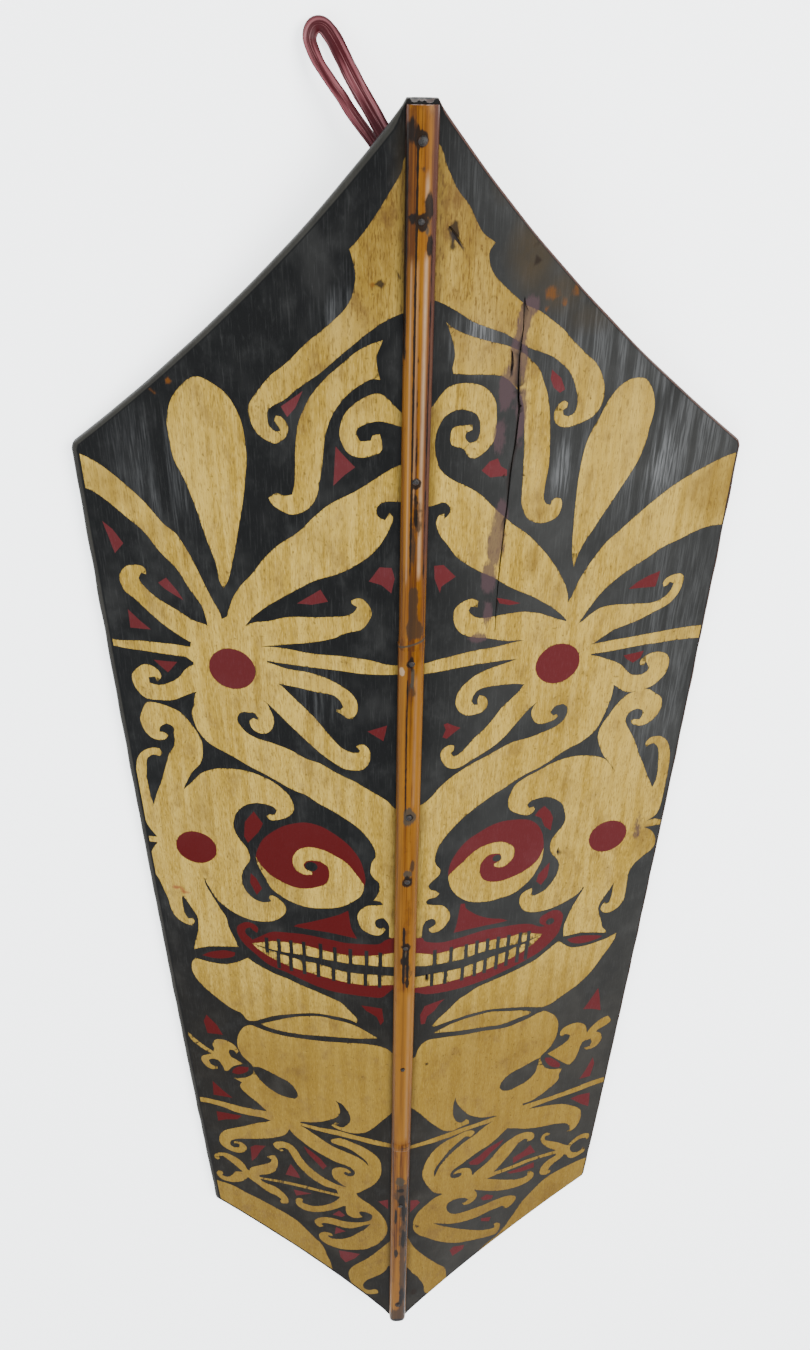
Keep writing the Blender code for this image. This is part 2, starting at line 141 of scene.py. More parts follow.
# The painted face in mm, across,down: from the ridge along the slope, then from the top end.
# Each half was laid out by hand, so they differ.
LEFT = (
    Motif("wing", Paint.BARE, path("""
    4,20 8.5,22 10,28 16,38 24,50 32,60 36,64 34,70 33,78 35,87 40,95 50,104 60,112 70,122 80,130
    87,138 93,147 93,155 89,163 80,168 74,165 71.5,160 72,156 75,152.5 78,152 79,155 77,158 76,160.5
    79,161 82.5,157 82.8,150 80,146.7 73,143 66.7,137.5 55,129 50,125 40,116 31.7,109 20,100 10,94.5
    4,93""")),
    Motif("fish tail", Paint.BARE, path("""
    18.5,108 22,118 20,129 25,129 33,134 41.7,142.5 47.5,152 51,163 52,172 54,186 57,199 63,207
    71,210.5 77,209 83,205 85,201 80,197.5 76,199 71,198 69,190 68,172 66,157 60,143 50,130 40,121
    30,113""")),
    Motif("ridge spiral", Paint.BARE, path("""
    4,148 8.5,146 20,136.5 31.7,141 39,148 42,155 42.5,162 38,171 30,173 20,169.5 18.7,165 20,159
    24,160 25,163 31,163.7 33,160 32.5,156.7 28,153.8 20,151.7 10,153.7 4,155""")),
    Motif("drop", Paint.BARE, path("""
    119,132.8 106.7,140 100.8,149 97.5,159 96.3,175 98.3,193 103,216.7 108,238 112.5,255 116.3,262.5
    118.7,258 120,246 125,228 128,215 133,196.7 139,181.7 140.8,170 140.8,157.5 137.5,146.7 131.7,139
    125,133.7""")),
    Motif("shoulder band", Paint.BARE, path("""
    208,178 201,180 191.7,183 181.7,189 171.7,197.5 160,209 150.8,221 143,228 137.5,237.5 133,248
    128,261.7 124,271.7 120,281 118,295 126,296 129,290 130.8,278 134,271.7 138,265 145,251.7 155,240
    163,228 173,219 183,210 191.7,204 201,201 208,200""")),
    Motif("long leaf", Paint.BARE, path("""
    4,175 10.8,176.7 20,183 33,192.5 50,203 60,212.5 68,221 80,230 90,240 98,251 106.7,261
    112.5,271.7 116,283 116,296 108,296 106,290 100,281.7 91.7,274 81.7,266.7 70,259 58,251.7
    45,246.7 33,239 23,230 16.7,220 13,211.7 12.5,207.5 14.7,205 16,208 17,209.7 20.8,208 22,204
    20,200 15,198 9,198 4,198""")),
    Motif("upper inner arm", Paint.BARE, path("""
    106,290 100,285 90,283 78,279 66.7,278 55,277 41.7,275 35.8,271.7 33.8,268 37,266 37.5,264 34,262
    30,262.5 26,267.5 25,272.5 27.5,279 31.7,284 40,286.7 50,292 63,295.8 75,298 85,300 95,301.7
    108,306""")),
    Motif("line to ridge", Paint.BARE, path("""
    106,303 95,301.7 80,301.7 61.7,304 41.7,304 25,305.5 15,307.5 4,307 4,314 8,314 21.7,315.5
    33,315.8 50,314.7 66.7,314 83,313 92,312 104,312""")),
    Motif("line to edge", Paint.BARE, path("""
    126,308 140.8,306.7 150,305.8 175,305 188,305.8 197.5,304.7 207,304 207,310 197.5,310 183,311.7
    166.7,313 153,314 145,314.7 141.7,317.5 128,318""")),
    Motif("upper outer arm", Paint.BARE, path("""
    129,290 138,286.7 146.7,281 155,276 163,270 168,264 170,260 168,256 165,256.7 165,253 168,251
    173,251 178,253 181.7,258 182.5,263 180,270 175,274 166.7,283 156.7,292.5 148,299 140.8,303
    128,308 120,300""")),
    Motif("lower inner arm", Paint.BARE, path("""
    92,313 80,316.7 66.7,318 55,321 45,326 38,331.7 34.5,338 34.5,345 37.5,351 40.8,351 45,348
    48,346.7 48,344.7 46,345 43.7,342.5 45,339 50,334 61.7,332.5 75,330 86,328.7 104,325 104,312""")),
    Motif("long inner arm", Paint.BARE, path("""
    86,328.7 80,334 71.7,343 63,352.5 57.5,360 50,370 44,376 38,378 34,378 33,376 35.5,373 33,371
    30,371 26.7,375 26,381 27.5,386.7 31.7,391.7 37.5,393 45,392 51.7,387.5 60,381 70,371 80,360
    88,351 96,343 108,338 104,325""")),
    Motif("flower heart", Paint.BARE, path("""
    104,292 116,282 128,290 141,303 141,318 141.7,330 141,341 130,350 113,352.5 104,352.7 96,343
    86,328.7 92,313 95,301.7""")),
    Motif("brow and nose", Paint.BARE, path("""
    96,343 91.7,351 90,358 91.7,365 96,369 101.7,369 106,365 106.7,360 104,357.5 101,358.7 101,356.7
    104,353 108,352.5 113,355 115,360 113,365 109,370 101.7,374 91.7,376.7 80,381 70,386.7 60,390
    50,396 38,401.7 30,406.7 21.7,411.7 15,416 10,421.7 4,424 4,549 8.7,548 12.5,546.7 12.5,535
    14,531 16.7,527.5 21,529 23,532.5 22.5,536.7 20,539 16.7,537.5 15,539 16.7,542.5 20,546 25,546
    31.7,542.5 35,536.7 36,528 33,521 28,516.7 21.7,515.5 17.5,514 19,511 24,511 21.7,506.7 20,500
    20,493 23,490 26,485 26,480 25,473 22.5,468 23,461.7 26,455 30,449 35,443 41.7,437.5 50,431.7
    61.7,425 70,419 80,415 90,409 100,403 110,397.5 118,392.5 126.7,387.5 136,381.7 142.5,373 145,365
    146,358 144,351.7 141,341 128,330""")),
    Motif("lower outer arm", Paint.BARE, path("""
    128,318 141.7,320 146.7,324 153,331.7 160,336 166.7,338 172.5,336.7 172.5,332.5 168,331.7
    167,335.5 164,331.7 165,326.7 170,323 175,323 181,327.5 184,333 182.5,341.7 176.7,349 168,350
    158,349 150,345 141.7,341 130,338""")),
    Motif("second head", Paint.BARE, path("""
    160,355 169,352.5 176,352.5 180,359 182.5,366.7 181,375 176.7,381 171.7,383 166.7,381.7 164,378
    166.7,376 170,376 169,371.7 164,368.7 160,371 160,376 161,386.7 165,393 167.5,400 170,408 174,420
    177.5,428 181.7,440 183,431.7 184,418 183,408 181.7,400 176.7,396 172.5,396.7 170,394 171.7,390
    176.7,390 183,393 187.5,398 190,405 191,415 191,448 188,461.7 182.5,470.5 200,471 200,476 183,476
    187.5,483 190,491.7 190,503 186,513 183,525 181,533 180,543 176,551.7 170,556.7 165,558 162.5,553
    164,550 167.5,551 169.7,545 170,533 169.7,527 166.7,531.7 163,540 160,548 160,558 161.7,566.7
    164,575 166,584 153,579 141.7,577.5 130,576 132.5,566.7 136,555 137.5,545 141.7,535 146.7,523
    150,514 151,506.7 148,515 145,523 141.7,529 133,537.5 126.7,541.7 116.7,545 106.7,545 98,541.7
    91.7,535 90,528 92.5,522.5 98,517.5 101.7,517 102.5,520 101,523 106.7,525 113,523 118,518
    121.7,510 121.7,500 119,491.7 115,485 114.5,480 116.7,471.7 121,465 124,456.7 124,448 121,440
    115,433 108,430 101.7,430 95,431.7 92.5,435 94,438.7 97.5,439 100,441 97.5,444 93,443.7 85,440
    80,433 81,425 85,417.5 91.7,411 100,406 110,402.5 120,401.7 133,403 143,407.5 150,415 158,424
    155,416.7 150,407.5 144,400 141.7,393 141,383 143,375 147.5,366.7 153,359""")),
    Motif("jaw", Paint.BARE, path("""
    123,586.7 130,591.7 138,596 146.7,597.5 156.7,596 166,593.7 169,599 170,606.7 167.5,616.7
    161.7,626.7 150,640 141.7,648 133,653 129,660 126.7,661 121.7,660 113,655 103,650 90,646 75,642.5
    66.7,642 53,643 43,645 38,647.5 37.5,643 43,635 50,626 58,621.7 70,616 80,611.7 93,605 103,601
    113,595 119,591""")),
    Motif("tongue", Paint.BARE, path("""
    21,663 30,656.7 41.7,650 55,647 68,645 80,647 93,651 105,656.7 117.5,663 110,666.7 98,669
    83,669.7 66.7,668.7 50,667.5 40,666.7 30,665""")),
    Motif("lower body", Paint.BARE, path("""
    4,681 7.5,680 13,675 20,672.5 33,672 50,673.7 66.7,675 83,675 100,674 113,671 121.7,667.5
    126.7,666 132.5,670 136.7,678 139,686.7 139,696.7 136,706.7 130,715 127.5,720 127.5,724 129,730
    135,735 141.7,737.5 146,738 141.7,741 139,742.5 141,747.5 139,753 133,761 126.7,768 122.5,774
    119,778.7 117,785 116.7,791 108,797 100,799 92,795 89,787.5 80,786 70,783 60,776.7 55,771
    53.7,763 54.7,756.7 56.7,751.7 51.7,755 47.5,762.5 45,770 45,776.7 47.5,782.5 51,787 54,787.5
    57.5,786 55,782.5 58,781.7 61.7,786.7 58,790 51.7,792.5 41.7,793.7 33,791 26.7,785 21.7,778
    16.7,770 11,761.7 6.7,755 4,752""")),
    Motif("lower line to ridge", Paint.BARE, path("""
    95,789 89,789 73,791.7 56.7,793 40,796.7 25,799 8,801.7 4,802 4,808 8,807.5 25,806 40,803
    56.7,800 75,796.7 90,793 97,797""")),
    Motif("lower line to edge", Paint.BARE, path("""
    108,781 119,778.7 133,778 143,776.7 160,773 173,771 184,771 196,771 196,777.5 184,777.5 170,778
    158,781 146.7,786 133,788 123,788.7 116.7,791 106,793""")),
    Motif("small flower", Paint.BARE, path("""
    136,717.5 141.7,713 146,710 147.5,704 146.7,701 143,701 141,705 139,701.7 141,696 146,691
    151.7,689 157.5,690 161,696 160,701.7 161,706 168,700 175,692.5 181,685 181,689 176.7,697.5
    170,704 163,709 168,711.7 171.7,714 172.5,720 169,726.7 164,729.7 159,728 159,725 162.5,724.7
    165,722.5 166,718 163,716 158,716.7 156,720 154,725 153,730 150,729 146.7,724 143,721""")),
    Motif("lower scrolls", Paint.BARE, path("""
    90,793 81.7,799 71.7,808 60,817.5 50,822.5 40,827.5 33,833 29,839.7 31,832.5 36,826.7 43,820
    51.7,815 56,814 61.7,811.7 63,808 59,805 53,803.7 43,807.5 33,812.5 25,819 19,828 17.5,838 18,850
    21.7,861.7 27.5,871 34,878 40.8,885 36.7,891.7 28,899 20.8,908 15,918 11.7,930 11.7,941.7 15,953
    20,963 25,969 33,976 43,980 55,982 65,980 71.7,976 76.7,970 78,962.5 75,957.5 70,956 66,957.5
    64,961 66.7,961.7 69,961 68.7,964 65,966 58,965 55,964 46.7,958 39,949 33,941.7 27.5,931.7
    31.7,934 40,940 46.7,943.7 55,944 63,941.7 71.7,941 75,943 73,946.7 76.7,949 80,946 81.7,940
    78,934 71.7,931 63,931 55,933 46.7,933 36.7,931 31,928 27.5,925 26,918 27.5,915 31.7,913 36,912.5
    38,914 37.5,918 35,921.7 39,924 44,925 49,921.7 51,915 51,908 53,908 58,912.5 66.7,919 75,923
    85,925 91.7,923 97.5,917.5 99,910 97.5,906 94,904.7 91.7,906.7 92.5,911 90,913 83,915 75,913
    66.7,908 60,901 56,894 66.7,891.7 83,889 100,886 116.7,884 134,882.5 134,879.5 126.7,880
    106.7,881 86.7,884 70,887.5 58,889.5 60,883 70,880 80,872.5 88,863 95,851.7 100,838 103,831
    106.7,829 109,830 106.7,833.7 109,835 114,831 116,826 113,821.7 106.7,820 100,822.5 95,829
    90,841.7 84,852.5 75,863 66.7,870 58,875 50,877 55,872.5 61,866 63,857.5 61.7,851 56.7,847.5
    51,847.5 46.7,850 45,853 48,855 50,852.5 52,855 50,858 46,859 42.5,856 41.7,851 45,846 50,843
    60,839 70,832.5 80,825 88,816.7 95,809 100,800 102,792""")),
    Motif("lower stem", Paint.BARE, path("""
    101,803 105,810 115,816 126.7,820 140,823 148,825 155,829 156,835 152.5,838.7 148,837.5 147.5,833
    150,832 152.5,832.5 152.5,830 149,828.7 144,831 141,836.7 143,842.5 148,846 155,845 161.7,841
    166,832.5 165,823 160,815 151.7,810 141.7,805 130,798 123,795 110,789 97,791""")),
    Motif("crossed tendrils", Paint.BARE, path("""
    113,850 115,843 118,843 123,846 121.7,848 118.7,849 120,854 126.7,859 133,862.5 139,866.7
    141,871.7 143,870 145,863 150,856 156.7,851 163,849 170,851 173,855 172.5,859 170,861 168,859
    169,856 165,854 161,858 155,865 147.5,875 155,876.7 157.5,881.7 163,886.7 168,885 166.7,881.7
    167.5,879 171,878 173,882.5 171.7,888 166.7,893 158,894 150,891 145,886 143,882.5 141,885 133,893
    125,901.7 116.7,906.7 113,911 114,914 113,917.5 110,918 106.7,916.7 105.5,911.7 107.5,905
    111.7,898 118,891.7 126.7,887.5 131.7,882.5 131.7,876.7 123,873 116.7,867.5 113.7,858""")),
    Motif("corner band", Paint.BARE, path("""
    200,885 180,892.5 160,899 146.7,908 133,916.7 120,926 108,935 98,945 90,956.7 83,968 76.7,976.7
    73,986.7 71,996.7 68,1008 66,1021.7 63,1029 80,1030 110,1005 165,955 200,925""")),
    Motif("bottom leaf", Paint.BARE, path("""
    4,950 9,956 12.5,962.5 18,971.7 25,983 31.7,993 40,1003 46.7,1012.5 49.5,1021.7 49.5,1030
    47.5,1040 43,1046.7 36,1056 30,1058 24,1056 20,1052.5 21,1048 24,1046 26.7,1049 31.7,1050 35,1046
    35,1040 31.7,1032.5 25,1025 18,1017.5 11.7,1006.7 10,1000 4,998""")),
    disc("flower eye", Paint.RED, 115.5, 320.5, 15.2),
    disc("head eye", Paint.RED, 154, 477, 15.0),
    Motif("eyeball", Paint.RED, path("""
    30,491.7 31.7,480 35,470 41.7,460 51.7,451 61.7,445 71.7,443 83,446 93,451.7 103,461.7 108,471.7
    110,480 109,488 105,498 100,510 93,516.7 83,522.5 71.7,525 58,523.7 46.7,520 38,513 33,506.7
    31,498""")),
    Motif("eye spiral", Paint.BARE, path("""
    31,497 33,506.7 38,513 46.7,520 58,523.7 71.7,525 83,522.5 93,516.7 100,510 105,498 109,488
    110,480 107.5,486.7 103,493 98,498 90,503 81.7,506 73,506 65,503 59,499 56.5,491 57.5,483 62,479
    66.7,478 72,479 75,483 73,487.5 68.7,488 69,491.7 75,492.5 81,489 83,483 82.5,476 78,469 70,465.5
    60,467 52,471 43,477.5 36.7,486.7 32.5,494""")),
    disc("pupil", Paint.GROUND, 69.5, 484, 4.6),
    Motif("lips", Paint.RED, path("""
    4,545 8.7,546.7 15,550 20,555 30,557 45,558 60,556 75,554 90,554 101.7,555 110,560 118,566
    123,560 122.5,555 119,553 116.7,556 114,558 113,553 116,549 121,547.5 126,550 129.7,555 129,563
    125,571.7 118,580 106.7,591.7 93,598 80,605 66.7,611 55,614 41.7,615 28,615 18,614 13,608 9,603
    4,602""")),
    Motif("teeth", Paint.BARE, path("""
    4,561 9,562.5 18,566 28,569 41.7,571 55,570 66.7,568 80,565 90,564.5 100,564.7 108,566.7
    118.7,570 115,575 108,581 100,586 90,591 80,594 66.7,597.5 55,600 41.7,602 28,602 18,600 9,598
    4,597""")),
    Motif("gap between teeth", Paint.GROUND, path("""
    4,577 8.7,578 33,580 46.7,580 60,578.7 73,577 100,575 118.7,570 108,574.7 100,577 90,580 80,583
    70,584 58,587 46.7,589.7 33,590 8.7,588 4,588""")),
    *tooth_lines((19, 29.5, 42, 54), 564, 583),
    *tooth_lines((65, 78, 88, 97.5, 107), 562, 578.5),
    *tooth_lines((19.5, 30.5, 43.5, 55.5, 67.5, 78.5, 89, 98.5), 585, 603, lift=0.16),
    Motif("body lens", Paint.GROUND, path("""
    127.5,720 126.7,726.7 123,735 116.7,744 108,751.7 100,755 93,756 90.5,751.7 91,745 96.7,735
    106.7,728 116.7,721.7 123,719""")),
    Motif("jaw lens", Paint.RED, path("""
    133,582.5 141.7,581.7 153,585 160,590 150,591.7 140,590 134,586.7""")),
    Motif("lower lens", Paint.RED, path("""
    131.7,721 140,721.7 145,726 146.7,731 142.5,732.5 136.7,730 132.5,726""")),
    Motif("cheek point", Paint.RED, path("""
    43,524 50,529 66.7,537.5 81.7,544 85,546.7 73,548 56.7,549 36.7,552.5 40.8,541.7""")),
    *shards(Paint.RED, (
        "62.5,137.5 75,146.7 71.7,152.5 67,147",
        "45,167.5 46.7,191 40,184 34,179 40,173",
        "13,240 20,240 26.7,250 19,252 13,257 11,247",
        "56,258 71,269 62,269 51.7,266",
        "188,223 183,244 176.7,236.7 182.5,228",
        "152.5,258 158,262 154,266 143,273 146,266.7",
        "180,282.5 180,296 166.7,296 173,290",
        "151.7,319 167.5,318.7 159,327.5",
        "15,354 28,360 17.5,366.7",
        "109,437.5 116,448 117.5,461.7 115,467.5 106.7,456.7 103,448",
        "115,496.7 116,506.7 111.7,518 107.5,511 111,501.7",
        "17.5,626.7 34,626 30,631.7 21.7,637.5 18.7,646.7 16,641.7",
        "163,660 166,668 164,683 151,683 155,671.7",
        "165,746 166,765 149,766 156.7,757.5",
        "142.5,790 165,788 165,801.7 156.7,798 146.7,796",
        "123,830 133,831 137.5,835 137.5,856 133,850 128,838",
        "88,822.5 85,831.7 78,843 71,854 67.5,848 73,838 80,830",
        "101,852.5 106.7,870 93,873 95,865",
        "11,887.5 20,892.5 11,903",
        "100,892.5 98,901.7 83,895",
        "57.5,916.7 64,925 55,926.7 51.7,923",
        "61,945 62.5,957.5 51.7,950",
        "38,986 59,985 57.5,996.7 52.5,1005 43,995",
    )),
)

RIGHT = (
    Motif("wing", Paint.BARE, path("""
    4,14 9.2,16.7 12.5,25 18.3,35.8 25,43.3 31.7,55 39.2,60.5 36.5,64 36.3,67.5 37.5,72.5 40.8,77.5
    50,85.8 58.3,91.7 66.7,95.5 73.3,100.3 80,105 86.7,111.7 95,119.2 101.7,125 106.7,133.3
    108.5,141.7 107.5,148.3 103.3,154.2 96.7,157.8 88.3,160 82.5,158.7 79.7,155 79.7,150 81.7,146.3
    85,144.5 87,145.8 86.7,148.3 84.5,150 85,152.5 88.3,153.7 91.7,151.7 92.7,147.5 92.2,141.7 90,135
    86.7,129.2 81.7,124.2 75.8,119.7 68.3,116.7 61.7,114.5 55,110.3 47.5,106 40,103.3 30,99.5 20,93.3
    10,88.3 4,87""")),
    Motif("fish tail", Paint.BARE, path("""
    14.7,98.7 18.3,101.7 25,105 33.3,108 40,110 48.3,112 58.3,116.5 65.8,123 69.2,127 71.7,133.3
    74.2,140 76.7,150 78,161.7 79,175 78.8,185 77.8,195 78,202.5 80,205.8 82.5,206.3 83,204
    85.8,202.2 88.3,203 89.5,205.8 89.2,210 87.5,214.2 83.3,216.7 77.5,217.7 72.5,216.3 68.3,213.3
    65.8,208.3 64.2,203.3 63.8,188.3 63.3,171.7 62,155 60,143 55,135 48,129 40,127.5 28,126.7
    20,125.8 19.2,123.3 20.3,116.7 19.2,110 16.7,103.3""")),
    Motif("ridge spiral", Paint.BARE, path("""
    4,146 8.5,143 13.3,136.7 16.7,133.3 23.3,131.3 31.7,131.7 39.2,135 44.2,141.7 45.5,150 46,159
    44.7,165 40.8,170 34.2,174.2 30,172.5 27.5,168.3 20.8,165.8 19.5,162.5 20,157 22.5,155 31.7,154.5
    32,157.5 28.5,159 28,162 30.5,165 34.5,164 36.5,160 36.3,154 34,149 29,146.5 22.5,145.8 16,149
    12.5,155 11,160 11,168 13,176 4,180""")),
    Motif("drop", Paint.BARE, path("""
    131.7,134.5 123.3,134.7 116.7,139.2 111.7,145.8 108.3,153.3 103.3,163.3 100,174 98.3,193.3
    98.3,210 98.7,226.7 99.5,240 101.7,249.2 103.3,241.7 106.7,233.3 113.3,221.7 120,210 126.7,198.3
    133.3,186.7 137.5,175 139.2,163.3 140.5,153.3 139.2,145 135.8,138.3""")),
    Motif("shoulder band", Paint.BARE, path("""
    208,181 201.2,182.5 191.7,185 181.7,189.2 171.7,194.2 161.7,200 151.7,207.5 141.7,215.8 131.7,225
    121.7,234.2 115,243.3 110,251.7 105,261.7 102.5,270 100.5,273 101,295 108,296 109.5,290 115,280
    121.7,270 130,261.7 140,254.2 150,248.3 160,241.7 171.7,236.7 183.3,231.7 191.7,230 201,230
    208,230""")),
    Motif("long leaf", Paint.BARE, path("""
    4,168 10,171.7 15,180 21.7,185.8 30,190.3 38.3,195.8 45,202.5 51.7,209.2 60,216.7 66.7,221.7
    73.3,227.5 80,235 86.7,243.3 93.3,253.3 98.3,263.3 100.5,273 104,296 101.2,287.5 96.7,281.7
    90,275.8 83.3,271.3 75,265.8 66.7,261.7 58.3,256.7 50,250.8 41.7,246.3 33.3,240.5 26.7,235
    20,225.8 15.8,220 13,212.5 13.3,209.2 15,206.7 17.8,206.2 17.7,209.2 20,207.5 21.3,204.2
    19.7,200.8 16.7,199.2 10,200.8 4,201""")),
    Motif("upper outer arm", Paint.BARE, path("""
    109.5,290 116.7,284.2 123.3,280 133.3,279.2 146.7,280 158.3,280.8 166.7,277.5 170.8,272.5
    171.7,268.3 169.2,267 167.5,269.2 165,270 164.2,267.5 165.8,264.2 170,262.2 175,261.7 178,264.2
    178,270 175.8,276.7 170,283.3 160,288.3 148.3,293.3 135,297.5 126.7,302.5 120,306.7 108,305
    100,295""")),
    Motif("line to edge", Paint.BARE, path("""
    112,307 120.8,306.7 130,305.8 141.7,305 155,304.2 166.7,303.3 183.3,302.2 199.5,302 207,302
    207,311.7 199.5,311.7 183.3,311.3 166.7,311.7 150,312.5 133.3,313.7 122.5,314.2 110,316""")),
    Motif("upper inner arm", Paint.BARE, path("""
    101.2,287.5 95,285 88.3,282 81.7,279.2 71.7,277 61.7,277 50,278 41.7,277.5 37.5,274.7 35.3,271.7
    36.7,269.2 41,270 41.3,265.8 37.5,263.7 32.5,264.7 27.5,268.3 25.8,273.3 26.7,280 30.8,286.7
    38.3,290.8 50,293.3 61.7,296.7 73,297.8 90,306 102,300""")),
    Motif("line to ridge", Paint.BARE, path("""
    84,298 73,297.8 66.7,298.3 55,300 41.7,300.8 30,302.5 18.3,304.2 10.8,305.8 4,306.5 4,314
    10.8,313.8 21.7,313.3 33.3,312 48.3,311.3 61.7,310.8 70,311.2 84,312""")),
    Motif("lower inner arm", Paint.BARE, path("""
    70,311.2 61.7,313.3 51.7,315.8 43.3,319.2 35.8,325 31,331.7 30,340 32.5,345.8 37.5,349.7 43.3,350
    49.2,348.3 51.7,344 51.5,340 49.7,337 46,335.5 45,338 45,342.5 43,342.5 41.2,340 41.5,336
    44.2,331.7 48.3,330 55,329.5 61.7,329.5 70,330 76.3,331.3 90,330 86,312""")),
    Motif("long inner arm", Paint.BARE, path("""
    76.3,331.3 73.3,335.8 66.7,342.5 61.7,347.5 57.5,354.2 51.7,361.7 45,368.3 40,374.2 35.8,379.2
    32.5,381.7 30,381.7 28.7,379.2 30.3,376.7 30.5,373.3 28.3,372.2 25,373 22,375.8 21.2,380 23,385.8
    25.8,390.3 30.8,392.5 35.8,391.7 43.3,387.5 51.7,382.5 60,376.7 66.7,370 71.7,363.3 76.7,356.7
    81.7,350.8 87.5,345.8 96,338 90,328""")),
    Motif("flower heart", Paint.BARE, path("""
    90,292 101,287 109,289 120,306.7 121,315 128,330 138,341 130,352 105,350.8 100.5,351.3 87.5,345.8
    76.3,331.3 70,311.2 73,297.8""")),
    Motif("brow and nose", Paint.BARE, path("""
    87.5,345.8 84.2,350 83,354.2 84.2,359.2 86.7,363.3 90.8,365 95.8,364.5 100,363 102.3,360.5
    101.3,358.8 98.5,359 97,357 97.8,354 100.5,351.3 105,350.8 108.3,354.2 108.7,359.5 106.7,364.3
    101.7,368.7 95,371.3 83.3,375 71.7,377 63.3,380.8 50,387.5 40,392.5 30,399.2 21.7,406.7
    16.7,413.3 10,419.2 4,421 4,553 8.3,551.7 12,548.3 12.5,541.7 13.3,535.8 15.8,531.7 19.7,530.3
    22.5,532.5 22.8,536.3 20.8,538.3 17.8,540 18,542.5 20.8,545 25.8,544.2 30,540.8 33,535 33.7,529.2
    31.7,523.3 27.5,518.3 21.7,516.7 16.2,515 14.7,512 16.7,509.7 22.5,508.8 24.7,505.8 21.7,502.5
    18.3,500.8 16.2,496.7 18.3,493.3 23.3,488.3 25,483.3 21.7,477.5 20.3,472.5 20.8,466.7 23.3,459.2
    27.5,451.7 33.3,444.2 40,436.7 50,428.3 60,420.8 66.7,416.7 75,411.3 83.3,406.3 93.3,401.7
    101.7,396.7 108.3,391.7 115,388.3 121.7,385 128.3,380 132.5,374.2 135,368.3 137.5,360 139.7,350
    140,340.8 120,330""")),
    Motif("lower outer arm", Paint.BARE, path("""
    112,315 122,315.5 130,318.3 141.7,324.2 146.7,329.2 151.7,334.2 156.7,335.3 160,335 163,333
    163.7,330 162.5,327.5 161.2,325.3 160,328.3 157.5,327.5 157,324.2 160,320.8 166.7,318.7 173.3,320
    177.5,324.2 178.3,330 177,336.7 171.7,343.3 166.2,346.7 158,348.3 150.8,348.3 145,345 140,340.8
    126,335""")),
    Motif("second head", Paint.BARE, path("""
    153,349.5 165,347.5 171.7,351.7 176.7,355.8 178.3,360 178,366.7 174.2,373.3 168.3,377.5
    162.5,377.5 158.3,375.3 157,372.5 159.2,371.7 163.3,372.5 165,369.2 164.7,365 160.8,363.3
    155.8,364.7 153.3,368.3 153.3,373.3 157.5,381.7 161.7,389.2 165,396.7 168.3,405 172.5,413.3
    176.7,423.3 180,430 182.5,435.5 184.2,430 184.7,421.7 183.8,413.3 183,405 180.8,398.3 176.7,395
    174.2,395.8 172.5,397.5 171.2,395.8 171.7,392.5 175,389.5 180.8,389.5 185.8,392.5 189.2,397.5
    191.7,405 192.8,415 193,431.7 192.5,448.3 190,461.7 183.3,467 189.2,466.3 194.7,468.3 202,469
    202,473 188.3,473 182,473 188.3,477.5 191.7,483.3 193.3,488.3 193.3,492.5 190.8,497.5 185,502.5
    179.2,508.3 175.8,516.7 175.5,525 175.8,538.3 175,546.7 171.5,553 167,556.3 162,557 158.5,555
    156.7,551.7 157.5,547.5 159.2,544.5 161,546.7 163,546 164.2,539.2 164.2,531.7 164.7,524.2
    162.5,530 160,535 156.7,541.7 154.7,547.5 155,552.5 157.2,560 159.2,566.7 160.8,572.5 164.2,576.7
    165,579.7 158.3,578 150,575.8 141.7,574.2 133.3,574.7 128.3,575 127.5,568.3 127.5,561.7 129.2,555
    130.8,548.3 133.3,540.8 135.8,535 138.3,529.2 139.7,524.2 135,530.8 130,534.2 123.3,538
    116.7,540.8 106.7,542.5 98.3,541.7 92.5,538.3 89.2,533.3 87.8,526.7 89.2,520.8 93.3,517.5
    97.2,516.3 97.5,519.2 97.2,522.5 99.2,524.5 103.3,523.3 108.3,520 113.3,512.5 116.2,505
    116.7,498.3 115,491.7 110,485 108,479.2 108.3,471.7 111.7,465 116.2,458.3 117.2,451.7 115.8,445
    113.3,438.3 108.3,433.3 101.7,430 95,429.5 89.2,431.2 86.7,434.2 88.3,437.2 91.7,436.7 92.8,439.2
    90.8,442.5 86.7,443.7 79.2,440.3 73.7,435.8 72,429.2 73.3,421.7 76.7,414.2 83.3,409.2 91.7,405
    100,400.8 108.3,398 116.7,396.7 126.7,397.5 135,399.7 141.7,403.3 146.7,409.2 150.8,415.5
    145,406.7 140.8,400.8 137.5,394.2 134.7,386.7 133.8,379.2 135.8,372.5 139.2,366.7 143.3,359.2
    147.5,353.5""")),
    Motif("jaw", Paint.BARE, path("""
    125,579.2 130,584.2 135,588.3 141.7,590 150,590 158.3,588.3 166.7,585.8 174.2,582 173.3,588.3
    170,596.7 165,606.7 158.3,620 150,631.7 141.7,639.2 133.3,645.8 126.7,651.3 122.5,653.5
    118.3,654.5 111.7,653 100,649.7 86.7,647 71.7,644.7 66.7,644.7 55,645.8 41.7,648.3 31.7,650.8
    25,652.2 23.3,650.8 28.3,644.2 36.7,635 45,625 51.7,620.8 60,615 71.7,610.8 83.3,606.7 95,601.7
    106.7,595.8 115,588.3 121.7,581.7""")),
    Motif("tongue", Paint.BARE, path("""
    25,660.3 31.7,656.7 40,653 50,650.3 60,648.8 71.7,647.8 83.3,650 93.3,652.2 101.7,654.2
    108.3,657.8 106.7,660 98.3,662 88.3,665 80,666.2 70,665.5 58.3,664.5 48.3,663.7 36.7,662""")),
